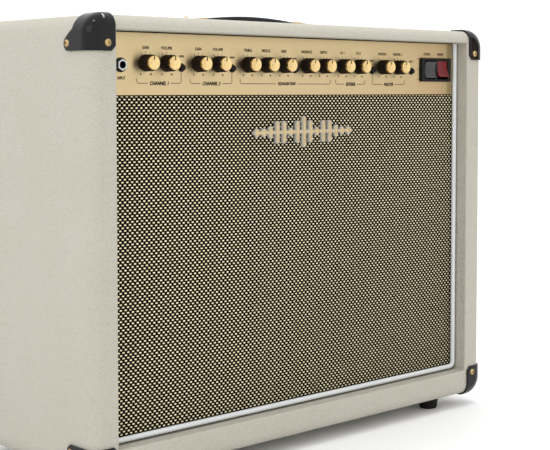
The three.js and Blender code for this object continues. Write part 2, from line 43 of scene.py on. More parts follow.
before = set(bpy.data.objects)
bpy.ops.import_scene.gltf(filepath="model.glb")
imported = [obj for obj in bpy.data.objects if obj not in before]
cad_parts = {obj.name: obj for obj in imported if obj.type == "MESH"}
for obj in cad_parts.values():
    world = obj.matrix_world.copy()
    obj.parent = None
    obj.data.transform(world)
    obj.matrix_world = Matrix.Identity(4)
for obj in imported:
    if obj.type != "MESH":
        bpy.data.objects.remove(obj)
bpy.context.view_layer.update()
random.seed(4)


def node_box(*nodes):
    """The lowest and highest corner of some CAD nodes together, in millimetres."""
    corners = [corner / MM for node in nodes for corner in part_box(node)]
    return [Vector(pick(values) for values in zip(*corners)) for pick in (min, max)]


def node_centre(node):
    low, high = node_box(node)
    return (low + high) / 2


# ---------------------------------------------------------------- sizes

CABINET_LOW, CABINET_HIGH = node_box("cabinet_side_left", "cabinet_side_right")
SIDE, BACK, TOP = (round(value, 2) for value in CABINET_HIGH)
FRONT, BASE = round(CABINET_LOW.y, 2), round(CABINET_LOW.z, 2)
CORNER_RADIUS = 22   # cabinet corners, seen from the front
EDGE_RADIUS = 13     # roundover along the front and back edges
CORE_RADIUS = CORNER_RADIUS - EDGE_RADIUS
FACING = 32          # width of the front face of the sides and the bottom
FACING_DEPTH = 38
BOARD = 18
CEILING = TOP - 15.5
MOUTH_FILLET = 2
REAR_FILLET = 1.5
BARE_FROM = 30       # the vinyl is folded this far into the back, and the boards are bare beyond

SKIN_GAP = 0.3       # between the cabinet and a corner protector
SKIN = 2
FLANGE = {"width": 29.5, "height": 37, "chamfer": 5, "reach": 30.5, "waist": 15}
LOBE = {"depth": 36.5, "drop": 29.5, "radius": 7.5}
SCREW_INSET = 19.6   # of the front screw from the cabinet's side
SCREW_DEPTH = 37.8   # of the side screw from the front face
SCREW_DROP = 29

PANEL_LOW, PANEL_HIGH = node_box("control_panel")
PANEL_FRONT = PANEL_LOW.y
KNOBS = sorted(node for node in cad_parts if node.startswith("knob_"))
BUTTONS = sorted(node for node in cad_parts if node.startswith("button_"))

# ---------------------------------------------------------------- shapes

FRONTWARD = Matrix.Rotation(math.radians(90), 4, "X")    # turns +Z to the front, and +Y upwards
BACKWARD = Matrix.Rotation(math.radians(-90), 4, "X")


def moved(x=0, y=0, z=0):
    return Matrix.Translation((x, y, z))


class Shape:
    """Points and faces in millimetres. Each face keeps the number of its material."""

    def __init__(self, points=(), faces=(), material=0):
        self.points = [Vector(point) for point in points]
        self.faces = [tuple(face) for face in faces]
        self.materials = [material] * len(self.faces)

    def add(self, other, matrix=Matrix.Identity(4), material=None):
        start = len(self.points)
        self.points += [matrix @ point for point in other.points]
        self.faces += [tuple(start + index for index in face) for face in other.faces]
        self.materials += other.materials if material is None else [material] * len(other.faces)
        return self

    def placed(self, matrix):
        return Shape().add(self, matrix)

    def mesh(self, name, scale=1.0, origin=(0, 0, 0)):
        """A mesh with its double points joined and its faces turned outwards."""
        mesh = bpy.data.meshes.new(name)
        mesh.from_pydata([(point - Vector(origin)) * scale for point in self.points], [], self.faces)
        mesh.polygons.foreach_set("material_index", self.materials)
        work = bmesh.new()
        work.from_mesh(mesh)
        bmesh.ops.remove_doubles(work, verts=work.verts, dist=1e-3 * scale)
        bmesh.ops.dissolve_degenerate(work, edges=work.edges, dist=1e-4 * scale)
        bmesh.ops.recalc_face_normals(work, faces=work.faces)
        work.to_mesh(mesh)
        work.free()
        return mesh

    def modified(self, *modifiers):
        """The shape after some modifiers, each a type and its settings."""
        thing = bpy.data.objects.new("work", self.mesh("work"))
        bpy.context.scene.collection.objects.link(thing)
        for kind, settings in modifiers:
            modifier = thing.modifiers.new(kind, kind)
            for key, value in settings.items():
                setattr(modifier, key, value)
        done = thing.evaluated_get(bpy.context.evaluated_depsgraph_get()).to_mesh()
        result = Shape([point.co for point in done.vertices], [face.vertices for face in done.polygons])
        result.materials = [face.material_index for face in done.polygons]
        bpy.data.objects.remove(thing)
        return result

    def bevelled(self, width, segments=3, angle=40):
        return self.modified(("BEVEL", {"width": width, "segments": segments, "limit_method": "ANGLE",
                                        "angle_limit": math.radians(angle)}))

    def cut_by(self, tool):
        """The shape less another one."""
        cutter = bpy.data.objects.new("cutter", tool.mesh("cutter"))
        bpy.context.scene.collection.objects.link(cutter)
        result = self.modified(("BOOLEAN", {"operation": "DIFFERENCE", "object": cutter, "solver": "EXACT"}))
        bpy.data.objects.remove(cutter)
        return result

    def build(self, name, materials, slot, body="cabinet", replaces=(), origin=(0, 0, 0), sharp=35):
        """The finished piece, in metres, riding on its body."""
        mesh = self.mesh(name, MM, origin)
        mesh.shade_smooth()
        mesh.set_sharp_from_angle(angle=math.radians(sharp))
        for material in materials if isinstance(materials, (list, tuple)) else [materials]:
            mesh.materials.append(material)
        piece = bpy.data.objects.new(name, mesh)
        piece.location = Vector(origin) * MM
        bpy.context.scene.collection.objects.link(piece)
        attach(piece, body)
        if replaces:
            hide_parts(*replaces)
        return piece


def loft(rings, closed=False):
    """Quads between rings of equally many points. closed joins the last ring to the first."""
    count = len(rings[0])
    faces = []
    for ring in range(len(rings) if closed else len(rings) - 1):
        start, after = ring * count, (ring + 1) % len(rings) * count
        for index in range(count):
            step = (index + 1) % count
            faces.append((start + index, start + step, after + step, after + index))
    if not closed:
        faces.append(tuple(range(count)))
        faces.append(tuple(range((len(rings) - 1) * count, len(rings) * count)))
    return Shape([point for ring in rings for point in ring], faces)


def lathe(profile, segments=48, closed=False, radius_at=lambda radius, height, angle: radius):
    """A [radius, height] outline turned about the Z axis. radius_at may change it round the turn."""
    rings = []
    for radius, height in profile:
        ring = []
        for index in range(segments):
            angle = 2 * math.pi * index / segments
            reach = radius_at(radius, height, angle)
            ring.append((reach * math.cos(angle), reach * math.sin(angle), height))
        rings.append(ring)
    return loft(rings, closed)


def arc(centre, radius, start, end, steps):
    """Points round an arc, its angles in degrees."""
    angles = [math.radians(start + (end - start) * step / steps) for step in range(steps + 1)]
    return [(centre[0] + radius * math.cos(a), centre[1] + radius * math.sin(a)) for a in angles]


def rounded_rectangle(half_width, bottom, top, radius, steps=8, centre=0.0):
    """Points round a rectangle with rounded corners, from the lower right corner upwards."""
    inset = half_width - radius
    corners = [(inset, bottom + radius, -90), (inset, top - radius, 0),
               (-inset, top - radius, 90), (-inset, bottom + radius, 180)]
    return [(x + centre, z) for along, up, start in corners
            for x, z in arc((along, up), radius, start, start + 90, steps)]


def plate(outline, thickness, holes=(), bevel=0.0, segments=3):
    """An outline with holes made into a slab from z = 0 upwards, its rims rounded by the bevel."""
    work = bmesh.new()
    for loop in [outline, *holes]:
        corners = [work.verts.new((x, y, 0)) for x, y in loop]
        for index, corner in enumerate(corners):
            work.edges.new((corner, corners[(index + 1) % len(corners)]))
    bmesh.ops.triangle_fill(work, use_beauty=True, edges=work.edges)
    raised = bmesh.ops.extrude_face_region(work, geom=work.faces[:])
    top = [part for part in raised["geom"] if isinstance(part, bmesh.types.BMVert)]
    bmesh.ops.translate(work, verts=top, vec=(0, 0, thickness))
    bmesh.ops.recalc_face_normals(work, faces=work.faces)
    work.verts.index_update()
    shape = Shape([v.co for v in work.verts], [[v.index for v in f.verts] for f in work.faces])
    work.free()
    return shape.bevelled(bevel, segments) if bevel else shape


def rounded_box(low, high, bevel=0.5, segments=3):
    outline = [(low[0], low[1]), (high[0], low[1]), (high[0], high[1]), (low[0], high[1])]
    slab = plate(outline, high[2] - low[2], bevel=bevel, segments=segments)
    return slab.placed(moved(z=low[2]))


def sweep(path, section, normal=Vector((0, 1, 0)), closed=False):
    """A section [across, along the normal] carried along a path."""
    path = [Vector(point) for point in path]
    rings = []
    for index, point in enumerate(path):
        before = path[index - 1] if index or closed else point
        after = path[(index + 1) % len(path)] if index + 1 < len(path) or closed else point
        across = (after - before).normalized().cross(normal).normalized()
        rings.append([point + across * a + normal * b for a, b in section])
    return loft(rings, closed)


def circle(radius, steps=16):
    return arc((0, 0), radius, 0, 360 - 360 / steps, steps - 1)


def cross_head_screw(radius, height):
    """A domed screw head with a cross recess, its seat at z = 0."""
    angles = [math.radians(a) for a in range(0, 91, 15)]
    dome = [(radius * math.cos(angle), height * math.sin(angle)) for angle in angles]
    head = lathe([(0, 0), *dome], 32)
    slot = 0.2 * radius
    bar = rounded_box((-0.6 * radius, -slot, -0.2 * height), (0.6 * radius, slot, 2 * height), 0)
    return head.cut_by(bar).cut_by(bar.placed(Matrix.Rotation(math.radians(90), 4, "Z")))


def hexagon_nut(radius, height, bore, bevel):
    """A hexagonal nut with its seat at z = 0; the radius is to its corners."""
    corners = [math.radians(a) for a in range(30, 390, 60)]
    outline = [(radius * math.cos(angle), radius * math.sin(angle)) for angle in corners]
    return plate(outline, height, [circle(bore, 32)], bevel=bevel)


# ---------------------------------------------------------------- material nodes


def srgb(red, green, blue):
    """A screen colour from 0 to 255 as the linear colour that a shader takes."""
    return (*[((value / 255 + 0.055) / 1.055) ** 2.4 for value in (red, green, blue)], 1.0)


class Graph:
    """The nodes of one material. The sizes given to its textures are millimetres."""

    def __init__(self, name, color, roughness, metallic=0.0, **sockets):
        self.material = bpy.data.materials.new(name)
        self.material.use_nodes = True
        self.tree = self.material.node_tree
        self.shader = self.tree.nodes["Principled BSDF"]
        self.place = self.tree.nodes.new("ShaderNodeTexCoord").outputs["Object"]
        self.feed(self.shader.inputs["Base Color"], color)
        self.feed(self.shader.inputs["Roughness"], roughness)
        self.feed(self.shader.inputs["Metallic"], metallic)
        for socket, value in sockets.items():
            self.feed(self.shader.inputs[socket.replace("_", " ")], value)

    def feed(self, socket, value):
        if isinstance(value, bpy.types.NodeSocket):
            self.tree.links.new(value, socket)
        else:
            socket.default_value = value

    def node(self, kind, inputs, output=0, **settings):
        made = self.tree.nodes.new("ShaderNode" + kind)
        for key, value in settings.items():
            setattr(made, key, value)
        for key, value in inputs.items():
            self.feed(made.inputs[key], value)
        return made.outputs[output]

    def math(self, operation, a, b=0.0, c=0.0):
        return self.node("Math", {0: a, 1: b, 2: c}, operation=operation)

    def stretched(self, x=1.0, y=1.0, z=1.0):
        """The place, with each axis scaled."""
        return self.node("VectorMath", {0: self.place, 1: (x, y, z)}, operation="MULTIPLY")

    def noise(self, size, detail=2.0, place=None):
        return self.node("TexNoise", {"Vector": place or self.place, "Scale": 1 / (size * MM),
                                      "Detail": detail})

    def cells(self, size, feature="F1", output="Distance", place=None):
        return self.node("TexVoronoi", {"Vector": place or self.place, "Scale": 1 / (size * MM)},
                         output, feature=feature)

    def between(self, value, low, high, start=0.0, end=1.0):
        """The value, carried from the range start...end to low...high."""
        return self.node("MapRange", {0: value, 1: start, 2: end, 3: low, 4: high})

    def mix(self, factor, a, b):
        return self.node("Mix", {0: factor, 6: a, 7: b}, 2, data_type="RGBA")

    def color(self, value):
        self.feed(self.shader.inputs["Base Color"], value)

    def rough(self, value):
        self.feed(self.shader.inputs["Roughness"], value)

    def bump(self, height, depth, strength=1.0):
        """A relief, its depth in millimetres where the height is 1."""
        normal = self.node("Bump", {"Strength": strength, "Distance": depth * MM, "Height": height})
        self.feed(self.shader.inputs["Normal"], normal)


# ---------------------------------------------------------------- materials


def make_vinyl():
    """Cream vinyl with a leather grain of small rounded islands, the grooves between them painted darker as
    shade.
    """
    graph = Graph("vinyl", srgb(176, 172, 160), 0.6, Specular_IOR_Level=0.3)
    islands = graph.cells(1.5, "SMOOTH_F1")
    fine = graph.noise(0.7, 3)
    patches = graph.noise(60, 3)
    tone = graph.mix(patches, srgb(177, 173, 160), srgb(183, 179, 167))
    # painted shade: the colour darkens towards srgb(146, 142, 128) in the grooves between the islands, where
    # the relief is lowest
    graph.color(graph.mix(graph.between(islands, 0, 0.35, 0.35, 0.9), tone, srgb(146, 142, 128)))
    graph.rough(graph.between(fine, 0.52, 0.7))
    relief = graph.math("ADD", graph.math("MULTIPLY", islands, -1.0), graph.math("MULTIPLY", fine, 0.5))
    graph.bump(relief, 0.8, 0.9)
    return graph.material


def make_wood():
    graph = Graph("plywood", srgb(120, 92, 62), 0.7)
    grain = graph.noise(2.2, 5, graph.stretched(0.05, 1, 1))
    graph.color(graph.mix(grain, srgb(86, 62, 40), srgb(146, 114, 78)))
    graph.bump(grain, 0.3, 0.6)
    return graph.material


WEAVE = {"across": 6.2, "up": 2.94, "half_long": 1.5, "half_tall": 0.84}


def make_cloth():
    """Black cloth with short cream floats in staggered rows."""
    graph = Graph("speaker_cloth", srgb(10, 9, 8), 0.9, Specular_IOR_Level=0.05)
    wobble = graph.noise(9, 2)
    split = graph.node("SeparateXYZ", {0: graph.stretched(1 / MM, 1 / MM, 1 / MM)}).node
    x = graph.math("MULTIPLY_ADD", wobble, 0.2, split.outputs[0])
    z = graph.math("MULTIPLY_ADD", wobble, 0.1, split.outputs[2])
    rows = graph.math("DIVIDE", z, WEAVE["up"])
    row = graph.math("FLOOR", rows)
    stagger = graph.math("MULTIPLY", graph.math("FLOORED_MODULO", row, 2.0), 0.5)
    columns = graph.math("ADD", graph.math("DIVIDE", x, WEAVE["across"]), stagger)
    column = graph.math("FLOOR", columns)

    def off_centre(value, cell, pitch, half):
        """How far off the middle of its cell a place is, as a share of the float's half size."""
        inside = graph.math("SUBTRACT", graph.math("SUBTRACT", value, cell), 0.5)
        return graph.math("MULTIPLY", graph.math("ABSOLUTE", inside), pitch / half)

    along = off_centre(columns, column, WEAVE["across"], WEAVE["half_long"])
    up = off_centre(rows, row, WEAVE["up"], WEAVE["half_tall"])
    edge = graph.math("ADD", graph.math("POWER", along, 3.0), graph.math("POWER", up, 2.5))
    float_ = graph.node("MapRange", {0: edge, 1: 1.25, 2: 0.75, 3: 0.0, 4: 1.0},
                        interpolation_type="SMOOTHSTEP")
    cell = graph.node("CombineXYZ", {0: column, 1: row})
    chance = graph.node("TexWhiteNoise", {0: cell}, noise_dimensions="3D")
    yarn = graph.math("SINE", graph.math("MULTIPLY", z, 2 * math.pi / 0.49))
    cream = graph.mix(chance, srgb(226, 212, 174), srgb(244, 232, 196))
    shaded = graph.mix(graph.between(yarn, 0.12, 0.0, -1, 1), cream, srgb(150, 140, 112))
    ground = graph.mix(graph.noise(0.5, 2), srgb(4, 3, 2), srgb(20, 15, 8))
    graph.color(graph.mix(float_, ground, shaded))
    graph.rough(graph.between(chance, 0.75, 0.95))
    height = graph.math("MULTIPLY_ADD", yarn, 0.08, graph.math("MULTIPLY", float_, 1.0))
    graph.bump(height, 0.5, 0.8)
    return graph.material


def make_plastic(name, color, roughness, grain=0.6, relief=0.02, specular=0.5):
    """Moulded plastic with a fine even texture and slightly uneven gloss."""
    graph = Graph(name, color, roughness, Specular_IOR_Level=specular)
    fine = graph.noise(grain, 3)
    lighter = [min(1.0, 1.25 * value + 0.003) for value in color[:3]] + [1.0]
    graph.color(graph.mix(graph.noise(18, 3), color, lighter))
    graph.rough(graph.between(fine, roughness - 0.06, roughness + 0.08))
    graph.bump(fine, relief, 0.5)
    return graph.material


def make_brushed(name, color, roughness, stretch, size=0.35, relief=0.012, drawn_up=0.0):
    """Sheet metal with fine brush lines along one axis, its reflections drawn out upwards."""
    graph = Graph(name, color, roughness, 1.0, Anisotropic=drawn_up)
    graph.feed(graph.shader.inputs["Tangent"], graph.node("CombineXYZ", {2: 1.0}))
    lines = graph.noise(size, 3, graph.stretched(*stretch))
    darker = [0.9 * value for value in color[:3]] + [1.0]
    graph.color(graph.mix(lines, darker, color))
    graph.rough(graph.between(lines, roughness - 0.06, roughness + 0.08))
    graph.bump(lines, relief, 0.5)
    return graph.material


def make_metal(name, color, roughness, relief=0.03):
    """Plated metal with faint pitting and cloudy gloss."""
    graph = Graph(name, color, roughness, 1.0)
    cloud = graph.noise(6, 4)
    darker = [0.8 * value for value in color[:3]] + [1.0]
    graph.color(graph.mix(cloud, darker, color))
    graph.rough(graph.between(cloud, roughness - 0.08, roughness + 0.1))
    graph.bump(graph.noise(0.9, 4), relief, 0.4)
    return graph.material


def make_knob_cap():
    """A turned gold disc: rings cut round its middle, which is its own origin."""
    graph = Graph("knob_cap", srgb(232, 201, 138), 0.28, 1.0, Anisotropic=0.75)
    split = graph.node("SeparateXYZ", {0: graph.place}).node
    radius = graph.math("SQRT", graph.math("ADD", graph.math("POWER", split.outputs[0], 2.0),
                                           graph.math("POWER", split.outputs[2], 2.0)))
    rings = graph.math("SINE", graph.math("MULTIPLY", radius, 2 * math.pi / (0.32 * MM)))
    spokes = graph.noise(2.5, 2)
    graph.color(graph.mix(spokes, srgb(214, 178, 112), srgb(246, 222, 166)))
    graph.rough(graph.between(spokes, 0.22, 0.36))
    graph.feed(graph.shader.inputs["Tangent"], graph.node("Tangent", {}, direction_type="RADIAL", axis="Y"))
    graph.bump(rings, 0.01, 0.4)
    return graph.material


def make_laminations():
    """Black lacquered steel sheets, stacked from side to side."""
    graph = Graph("laminations", srgb(34, 34, 36), 0.45, 0.6)
    lines = graph.node("TexWave", {"Vector": graph.place, "Scale": 130.0, "Distortion": 0.4, "Detail": 2.0},
                       wave_type="BANDS", bands_direction="Y")
    graph.color(graph.mix(lines, srgb(22, 22, 24), srgb(58, 58, 60)))
    graph.rough(graph.between(graph.noise(3, 3), 0.35, 0.6))
    graph.bump(lines, 0.15, 0.8)
    return graph.material


def make_circuit_board():
    """Green solder mask with darker traces."""
    graph = Graph("circuit_board", srgb(36, 92, 56), 0.4)
    traces = graph.cells(7, "DISTANCE_TO_EDGE")
    graph.color(graph.mix(graph.between(traces, 1, 0, 0.02, 0.12), srgb(28, 82, 48), srgb(58, 124, 74)))
    graph.rough(graph.between(graph.noise(2, 2), 0.3, 0.5))
    graph.bump(traces, 0.1, 0.5)
    return graph.material


def make_paper():
    """Pressed cone paper with fibres and faint rings."""
    graph = Graph("cone_paper", srgb(40, 38, 36), 0.9, Specular_IOR_Level=0.2)
    fibres = graph.noise(1.4, 5)
    graph.color(graph.mix(fibres, srgb(28, 27, 26), srgb(58, 55, 51)))
    graph.bump(fibres, 0.25, 0.8)
    return graph.material


def make_glass():
    graph = Graph("valve_glass", (0.95, 0.97, 0.96, 1.0), 0.03, Transmission_Weight=1.0, IOR=1.47)
    graph.rough(graph.between(graph.noise(8, 2), 0.015, 0.06))
    graph.bump(graph.noise(14, 1), 0.05, 0.2)
    return graph.material


def make_piping():
    """Light grey vinyl piping with a fine twist."""
    graph = Graph("piping", srgb(204, 206, 207), 0.45)
    fine = graph.noise(1.1, 3)
    graph.color(graph.mix(graph.noise(30, 3), srgb(198, 200, 201), srgb(210, 212, 213)))
    graph.rough(graph.between(fine, 0.38, 0.55))
    graph.bump(fine, 0.08, 0.4)
    return graph.material


VINYL = make_vinyl()
WOOD = make_wood()
CLOTH = make_cloth()
PIPING = make_piping()
GOLD_PANEL = make_brushed("gold_panel", srgb(203, 182, 140), 0.3, (0.02, 1, 1), drawn_up=0.85)
KNOB_CAP = make_knob_cap()
BRASS = make_metal("brass", srgb(196, 170, 122), 0.3)
STEEL = make_metal("steel", srgb(176, 178, 180), 0.38)
CHROME = make_metal("plated_nut", srgb(206, 208, 210), 0.2)
BADGE_EDGE = make_plastic("badge_edge", srgb(166, 163, 155), 0.35, 2.0)
CORNER_PLASTIC = make_plastic("corner_plastic", srgb(6, 6, 7), 0.1, specular=0.24)
KNOB_PLASTIC = make_plastic("knob_plastic", srgb(18, 9, 4), 0.45, specular=0.12)
BLACK_PLASTIC = make_plastic("black_plastic", srgb(7, 6, 5), 0.35, specular=0.18)
GREY_PLASTIC = make_plastic("grey_plastic", srgb(56, 55, 55), 0.42, specular=0.3)
RED_PLASTIC = make_plastic("red_plastic", srgb(98, 12, 18), 0.3, 2.0, specular=0.3)
INK = make_plastic("ink", srgb(34, 24, 16), 0.6, 1.0, 0.005)
RUBBER = make_plastic("rubber", srgb(16, 14, 13), 0.75, 1.2, 0.06, 0.2)
STRAP = make_plastic("strap", srgb(14, 15, 18), 0.5, 1.0, 0.08, 0.3)
BLACK_PAINT = make_plastic("black_paint", srgb(26, 26, 27), 0.4, 2.5, 0.05)
FERRITE = make_plastic("ferrite", srgb(48, 47, 48), 0.7, 1.5, 0.1)
LAMINATIONS = make_laminations()
CIRCUIT_BOARD = make_circuit_board()
PAPER = make_paper()
GLASS = make_glass()

# ---------------------------------------------------------------- cabinet


def shell_ring(margin, y, bottom, top, half_width, radius):
    """A loop round the cabinet, grown by the margin from the given rectangle."""
    outline = rounded_rectangle(half_width + margin, bottom - margin, top + margin, radius + margin)
    return [(x, y, z) for x, z in outline]


def make_cabinet():
    """The four boards under one skin of vinyl, as rings from the mouth round to the bay behind."""
    mouth = {"half_width": SIDE - FACING, "bottom": BASE + FACING, "top": CEILING, "radius": 1.5}
    outer = {"half_width": SIDE, "bottom": BASE, "top": TOP, "radius": CORNER_RADIUS}
    bay = {"half_width": SIDE - BOARD, "bottom": BASE + BOARD, "top": CEILING + 0.5, "radius": 1.5}

    def rounded(rectangle, radius, face, end, inside):
        """The rings over one edge: in from the face, from a flat start to a full turn."""
        rings = []
        for step in range(9):
            angle = math.radians(90 * step / 8)
            inset = radius * (1 - math.sin(angle))
            depth = radius * (1 - math.cos(angle))
            rings.append(shell_ring(inset if inside else -inset, face - end * depth, **rectangle))
        return rings

    facing_back = FRONT + FACING_DEPTH
    rings = [shell_ring(0, facing_back, **mouth)]
    rings += rounded(mouth, MOUTH_FILLET, FRONT, -1, True)[::-1]
    rings += rounded(outer, EDGE_RADIUS, FRONT, -1, False)
    rings += rounded(outer, EDGE_RADIUS, BACK, 1, False)[::-1]
    rings += rounded(bay, REAR_FILLET, BACK, 1, True)
    bare = len(rings)
    rings += [shell_ring(0, BACK - BARE_FROM, **bay), shell_ring(0, facing_back, **bay)]
    shape = loft(rings, closed=True)
    per_ring = len(rings[0])
    for index in range(bare * per_ring, len(shape.faces)):
        shape.materials[index] = 1
    shape.build("cabinet_shell", [VINYL, WOOD], "vinyl",
                replaces=["cabinet_top", "cabinet_bottom", "cabinet_side_left", "cabinet_side_right"])


def on_skin(u, v, w, margin):
    """Where a point of the cabinet's square corner lands on its rounded skin, grown by a margin.

    u, v and w are inward from the side, from the face and from the top or bottom.
    """
    core = Vector((max(u, EDGE_RADIUS), max(v, EDGE_RADIUS), max(w, EDGE_RADIUS)))
    if u < CORNER_RADIUS and w < CORNER_RADIUS:
        way = Vector((u - CORNER_RADIUS, w - CORNER_RADIUS))
        if way.length > CORE_RADIUS:
            way *= CORE_RADIUS / way.length
        core.x, core.z = CORNER_RADIUS + way.x, CORNER_RADIUS + way.y
    out = Vector((u, v, w)) - core
    return core + out.normalized() * (EDGE_RADIUS + margin)


def inside_outline(point, outline, margin):
    """Whether a point is inside an outline and further than the margin from its edge."""
    x, y = point
    inside = False
    for (x0, y0), (x1, y1) in zip(outline, outline[1:] + outline[:1]):
        if (y0 > y) != (y1 > y) and x < x0 + (y - y0) * (x1 - x0) / (y1 - y0):
            inside = not inside
        run = Vector((x1 - x0, y1 - y0))
        share = max(0, min(1, Vector((x - x0, y - y0)).dot(run) / max(run.length_squared, 1e-9)))
        if (Vector((x - x0, y - y0)) - share * run).length < margin:
            return False
    return inside


def flat_patch(corners, step):
    """Triangles over an outline, with points at the step along its edges and inside."""
    outline = []
    for (x0, y0), (x1, y1) in zip(corners, corners[1:] + corners[:1]):
        parts = max(1, math.ceil(math.hypot(x1 - x0, y1 - y0) / step - 1e-6))
        outline += [(x0 + (x1 - x0) * k / parts, y0 + (y1 - y0) * k / parts) for k in range(parts)]
    reach = math.ceil(max(max(point) for point in outline) / step)
    grid = [(a * step, b * step) for a in range(reach) for b in range(reach)]
    points = outline + [point for point in grid if inside_outline(point, outline, 0.6 * step)]
    ring = list(range(len(outline)))
    found = delaunay_2d_cdt([Vector(p) for p in points], [], [ring], 1, 1e-4)
    return found[0], found[2]


def corner_patch(step=1.8):
    """The skin of one corner protector on the square corner, as (u, v, w) points."""
    width, height, chamfer, reach, waist = FLANGE.values()
    depth, drop, radius = LOBE.values()
    face = [(0, 0), (width, 0), (width, height - chamfer), (width - chamfer, height), (0, height)]
    top = [(0, 0), (width, 0), (width, reach), (0, reach)]
    side = [(0, 0), (reach, 0), (reach, waist), *arc((depth, drop), radius, -45, 90, 10), (0, height)]
    shape = Shape()
    for corners, place in ((face, lambda a, b: (a, 0, b)), (top, lambda a, b: (a, b, 0)),
                           (side, lambda a, b: (0, a, b))):
        points, faces = flat_patch(corners, step)
        shape.add(Shape([place(*point) for point in points], faces))
    return shape


def make_corner_protectors():
    patch = corner_patch()
    patch.points = [on_skin(*point, SKIN_GAP + SKIN) for point in patch.points]
    cover = patch.modified(("SOLIDIFY", {"thickness": SKIN, "offset": -1}),
                           ("BEVEL", {"width": 0.7, "segments": 3, "limit_method": "ANGLE",
                                      "angle_limit": math.radians(50)}))
    screw = lathe([(0, 0), (3.9, 0), (3.7, 0.5), (0, 0.5)], 32).add(cross_head_screw(3.3, 1.7), moved(z=0.4))
    proud = SKIN_GAP + SKIN - 0.1
    screws = Shape()
    for side_name, hand in HANDS:
        for end_name, end in ENDS:
            for level_name, level in LEVELS:
                at = lambda u, v, w: Vector((hand * (SIDE - u), end * (BACK - v),
                                             (TOP if level > 0 else BASE) - level * w))
                shape = Shape([at(*point) for point in cover.points], cover.faces)
                name = f"corner_{level_name}_{end_name}_{side_name}"
                shape.build(f"{name}_cover", CORNER_PLASTIC, "corner_plastic", replaces=[name])
                turn = Matrix.Rotation(random.uniform(0, math.pi / 2), 4, "Z")
                facing = FRONTWARD if end < 0 else BACKWARD
                face_screw = Matrix.Translation(at(SCREW_INSET, -proud, SCREW_DROP)) @ facing
                sideways = Matrix.Rotation(math.radians(90 * hand), 4, "Y")
                side_screw = Matrix.Translation(at(-proud, SCREW_DEPTH, SCREW_DROP)) @ sideways
                for matrix in (face_screw, side_screw):
                    screws.add(screw, matrix @ turn)
    screws.build("corner_screws", BRASS, "brass")


def make_feet():
    """Turned rubber feet with a rounded sole, a washer and a screw up the middle."""
    screw = cross_head_screw(3.6, 1.8).placed(Matrix.Rotation(math.pi, 4, "X"))
    for side_name, _ in HANDS:
        for end_name, _ in ENDS:
            node = f"foot_{end_name}_{side_name}"
            low, high = node_box(node)
            centre = (low + high) / 2
            top, bottom = (high.x - low.x) / 2, (high.x - low.x) / 2 - 2
            profile = [(0, 8), (4.4, 8), (4.4, 1), (5, 0.3), (bottom - 2, 0),
                       *arc((bottom - 2, 2), 2, -70, 0, 5), (top - 0.6, high.z - 3),
                       *arc((top - 1, high.z - 1), 1, 0, 90, 4), (0, high.z)]
            foot = lathe(profile, 48).placed(moved(centre.x, centre.y))
            foot.build(f"{node}_rubber", RUBBER, "rubber", replaces=[node])
            fixing = lathe([(0, 7.9), (4.3, 7.9), (4.3, 7.2), (2, 7.2), (0, 7.2)], 24)
            fixing.add(screw, moved(z=7.3))
            fixing.placed(moved(centre.x, centre.y)).build(f"{node}_screw", STEEL, "steel")


# ---------------------------------------------------------------- handle

STRAP_RIB = {"pitch": 3.2, "depth": 0.35, "reach": 46}
STRAP_BODY = {"tongue": 2.4, "grip": 6.4, "sag": 4.7}   # thickness in the caps and in the middle; bow


def make_handle():
    low, high = node_box("handle_strap")
    cap_low = node_box("handle_cap_right")[0]
    under, root, end = low.z, cap_low.x, high.x
    centre, half_depth = (low.y + high.y) / 2, (high.y - low.y) / 2
    crown = high.z
    tongue, grip, sag = STRAP_BODY.values()

    def ring(x):
        share = min(1.0, abs(x) / root)
        if abs(x) < root - 1:
            top = crown - sag * share ** 2
            floor = under + (crown - grip - under) * (1 - share ** 2)
        else:
            top, floor = under + tongue, under
        if abs(x) < STRAP_RIB["reach"]:
            top -= STRAP_RIB["depth"] * (0.5 - 0.5 * math.cos(2 * math.pi * x / STRAP_RIB["pitch"]))
        radius = min(1.1, (top - floor) / 2.2)
        outline = rounded_rectangle(half_depth, floor, top, radius, 4, centre)
        return [(x, y, z) for y, z in outline]

    steps = [end * (2 * k / 360 - 1) for k in range(361)]
    loft([ring(x) for x in steps]).build("strap", STRAP, "strap", replaces=["handle_strap"], sharp=50)

    screw = cross_head_screw(3.2, 1.5)
    for name, hand in HANDS:
        low, high = node_box(f"handle_cap_{name}")
        length, height = high.x - low.x, high.z - low.z
        profile = [(0, 0), (length, 0), (length - 0.5, 3), (length - 4, height - 2.5), (0, height)]
        wedge = plate(profile, high.y - low.y, bevel=1.0)
        channel = rounded_box((-1, -1, 2), (length - 8, 3.9, high.y - low.y - 2), 0)
        cap = wedge.cut_by(channel)
        basis = Matrix(((hand, 0, 0, hand * cap_low.x), (0, 0, 1, low.y), (0, 1, 0, low.z), (0, 0, 0, 1)))
        shape = cap.placed(basis)
        middle = (low.y + high.y) / 2
        shape.add(screw, moved(hand * (cap_low.x + 0.55 * length), middle, high.z - 0.15))
        shape.build(f"handle_cap_{name}_cover", BRASS, "brass", replaces=[f"handle_cap_{name}"])


# ---------------------------------------------------------------- front: cloth, piping, badge


CLOTH_SHEET = {"thickness": 1.6, "below_panel": 1.1, "strip_inner": 269.2}


def make_cloth_sheet():
    """The cloth under the panel, with a narrow strip running up on each side of the panel."""
    low, high = node_box("grille_cloth")
    baffle_top = node_box("control_panel")[0].z - CLOTH_SHEET["below_panel"]
    inner, thickness = CLOTH_SHEET["strip_inner"], CLOTH_SHEET["thickness"]
    side, bottom, top = high.x, low.z, high.z
    outline = [(-side, bottom), (side, bottom), (side, top), (inner, top), (inner, baffle_top),
               (-inner, baffle_top), (-inner, top), (-side, top)]
    sheet = plate(outline, thickness, bevel=0.7)
    cloth = sheet.placed(moved(y=low.y + thickness) @ FRONTWARD).build(
        "speaker_cloth", CLOTH, "cloth", replaces=["grille_cloth"])


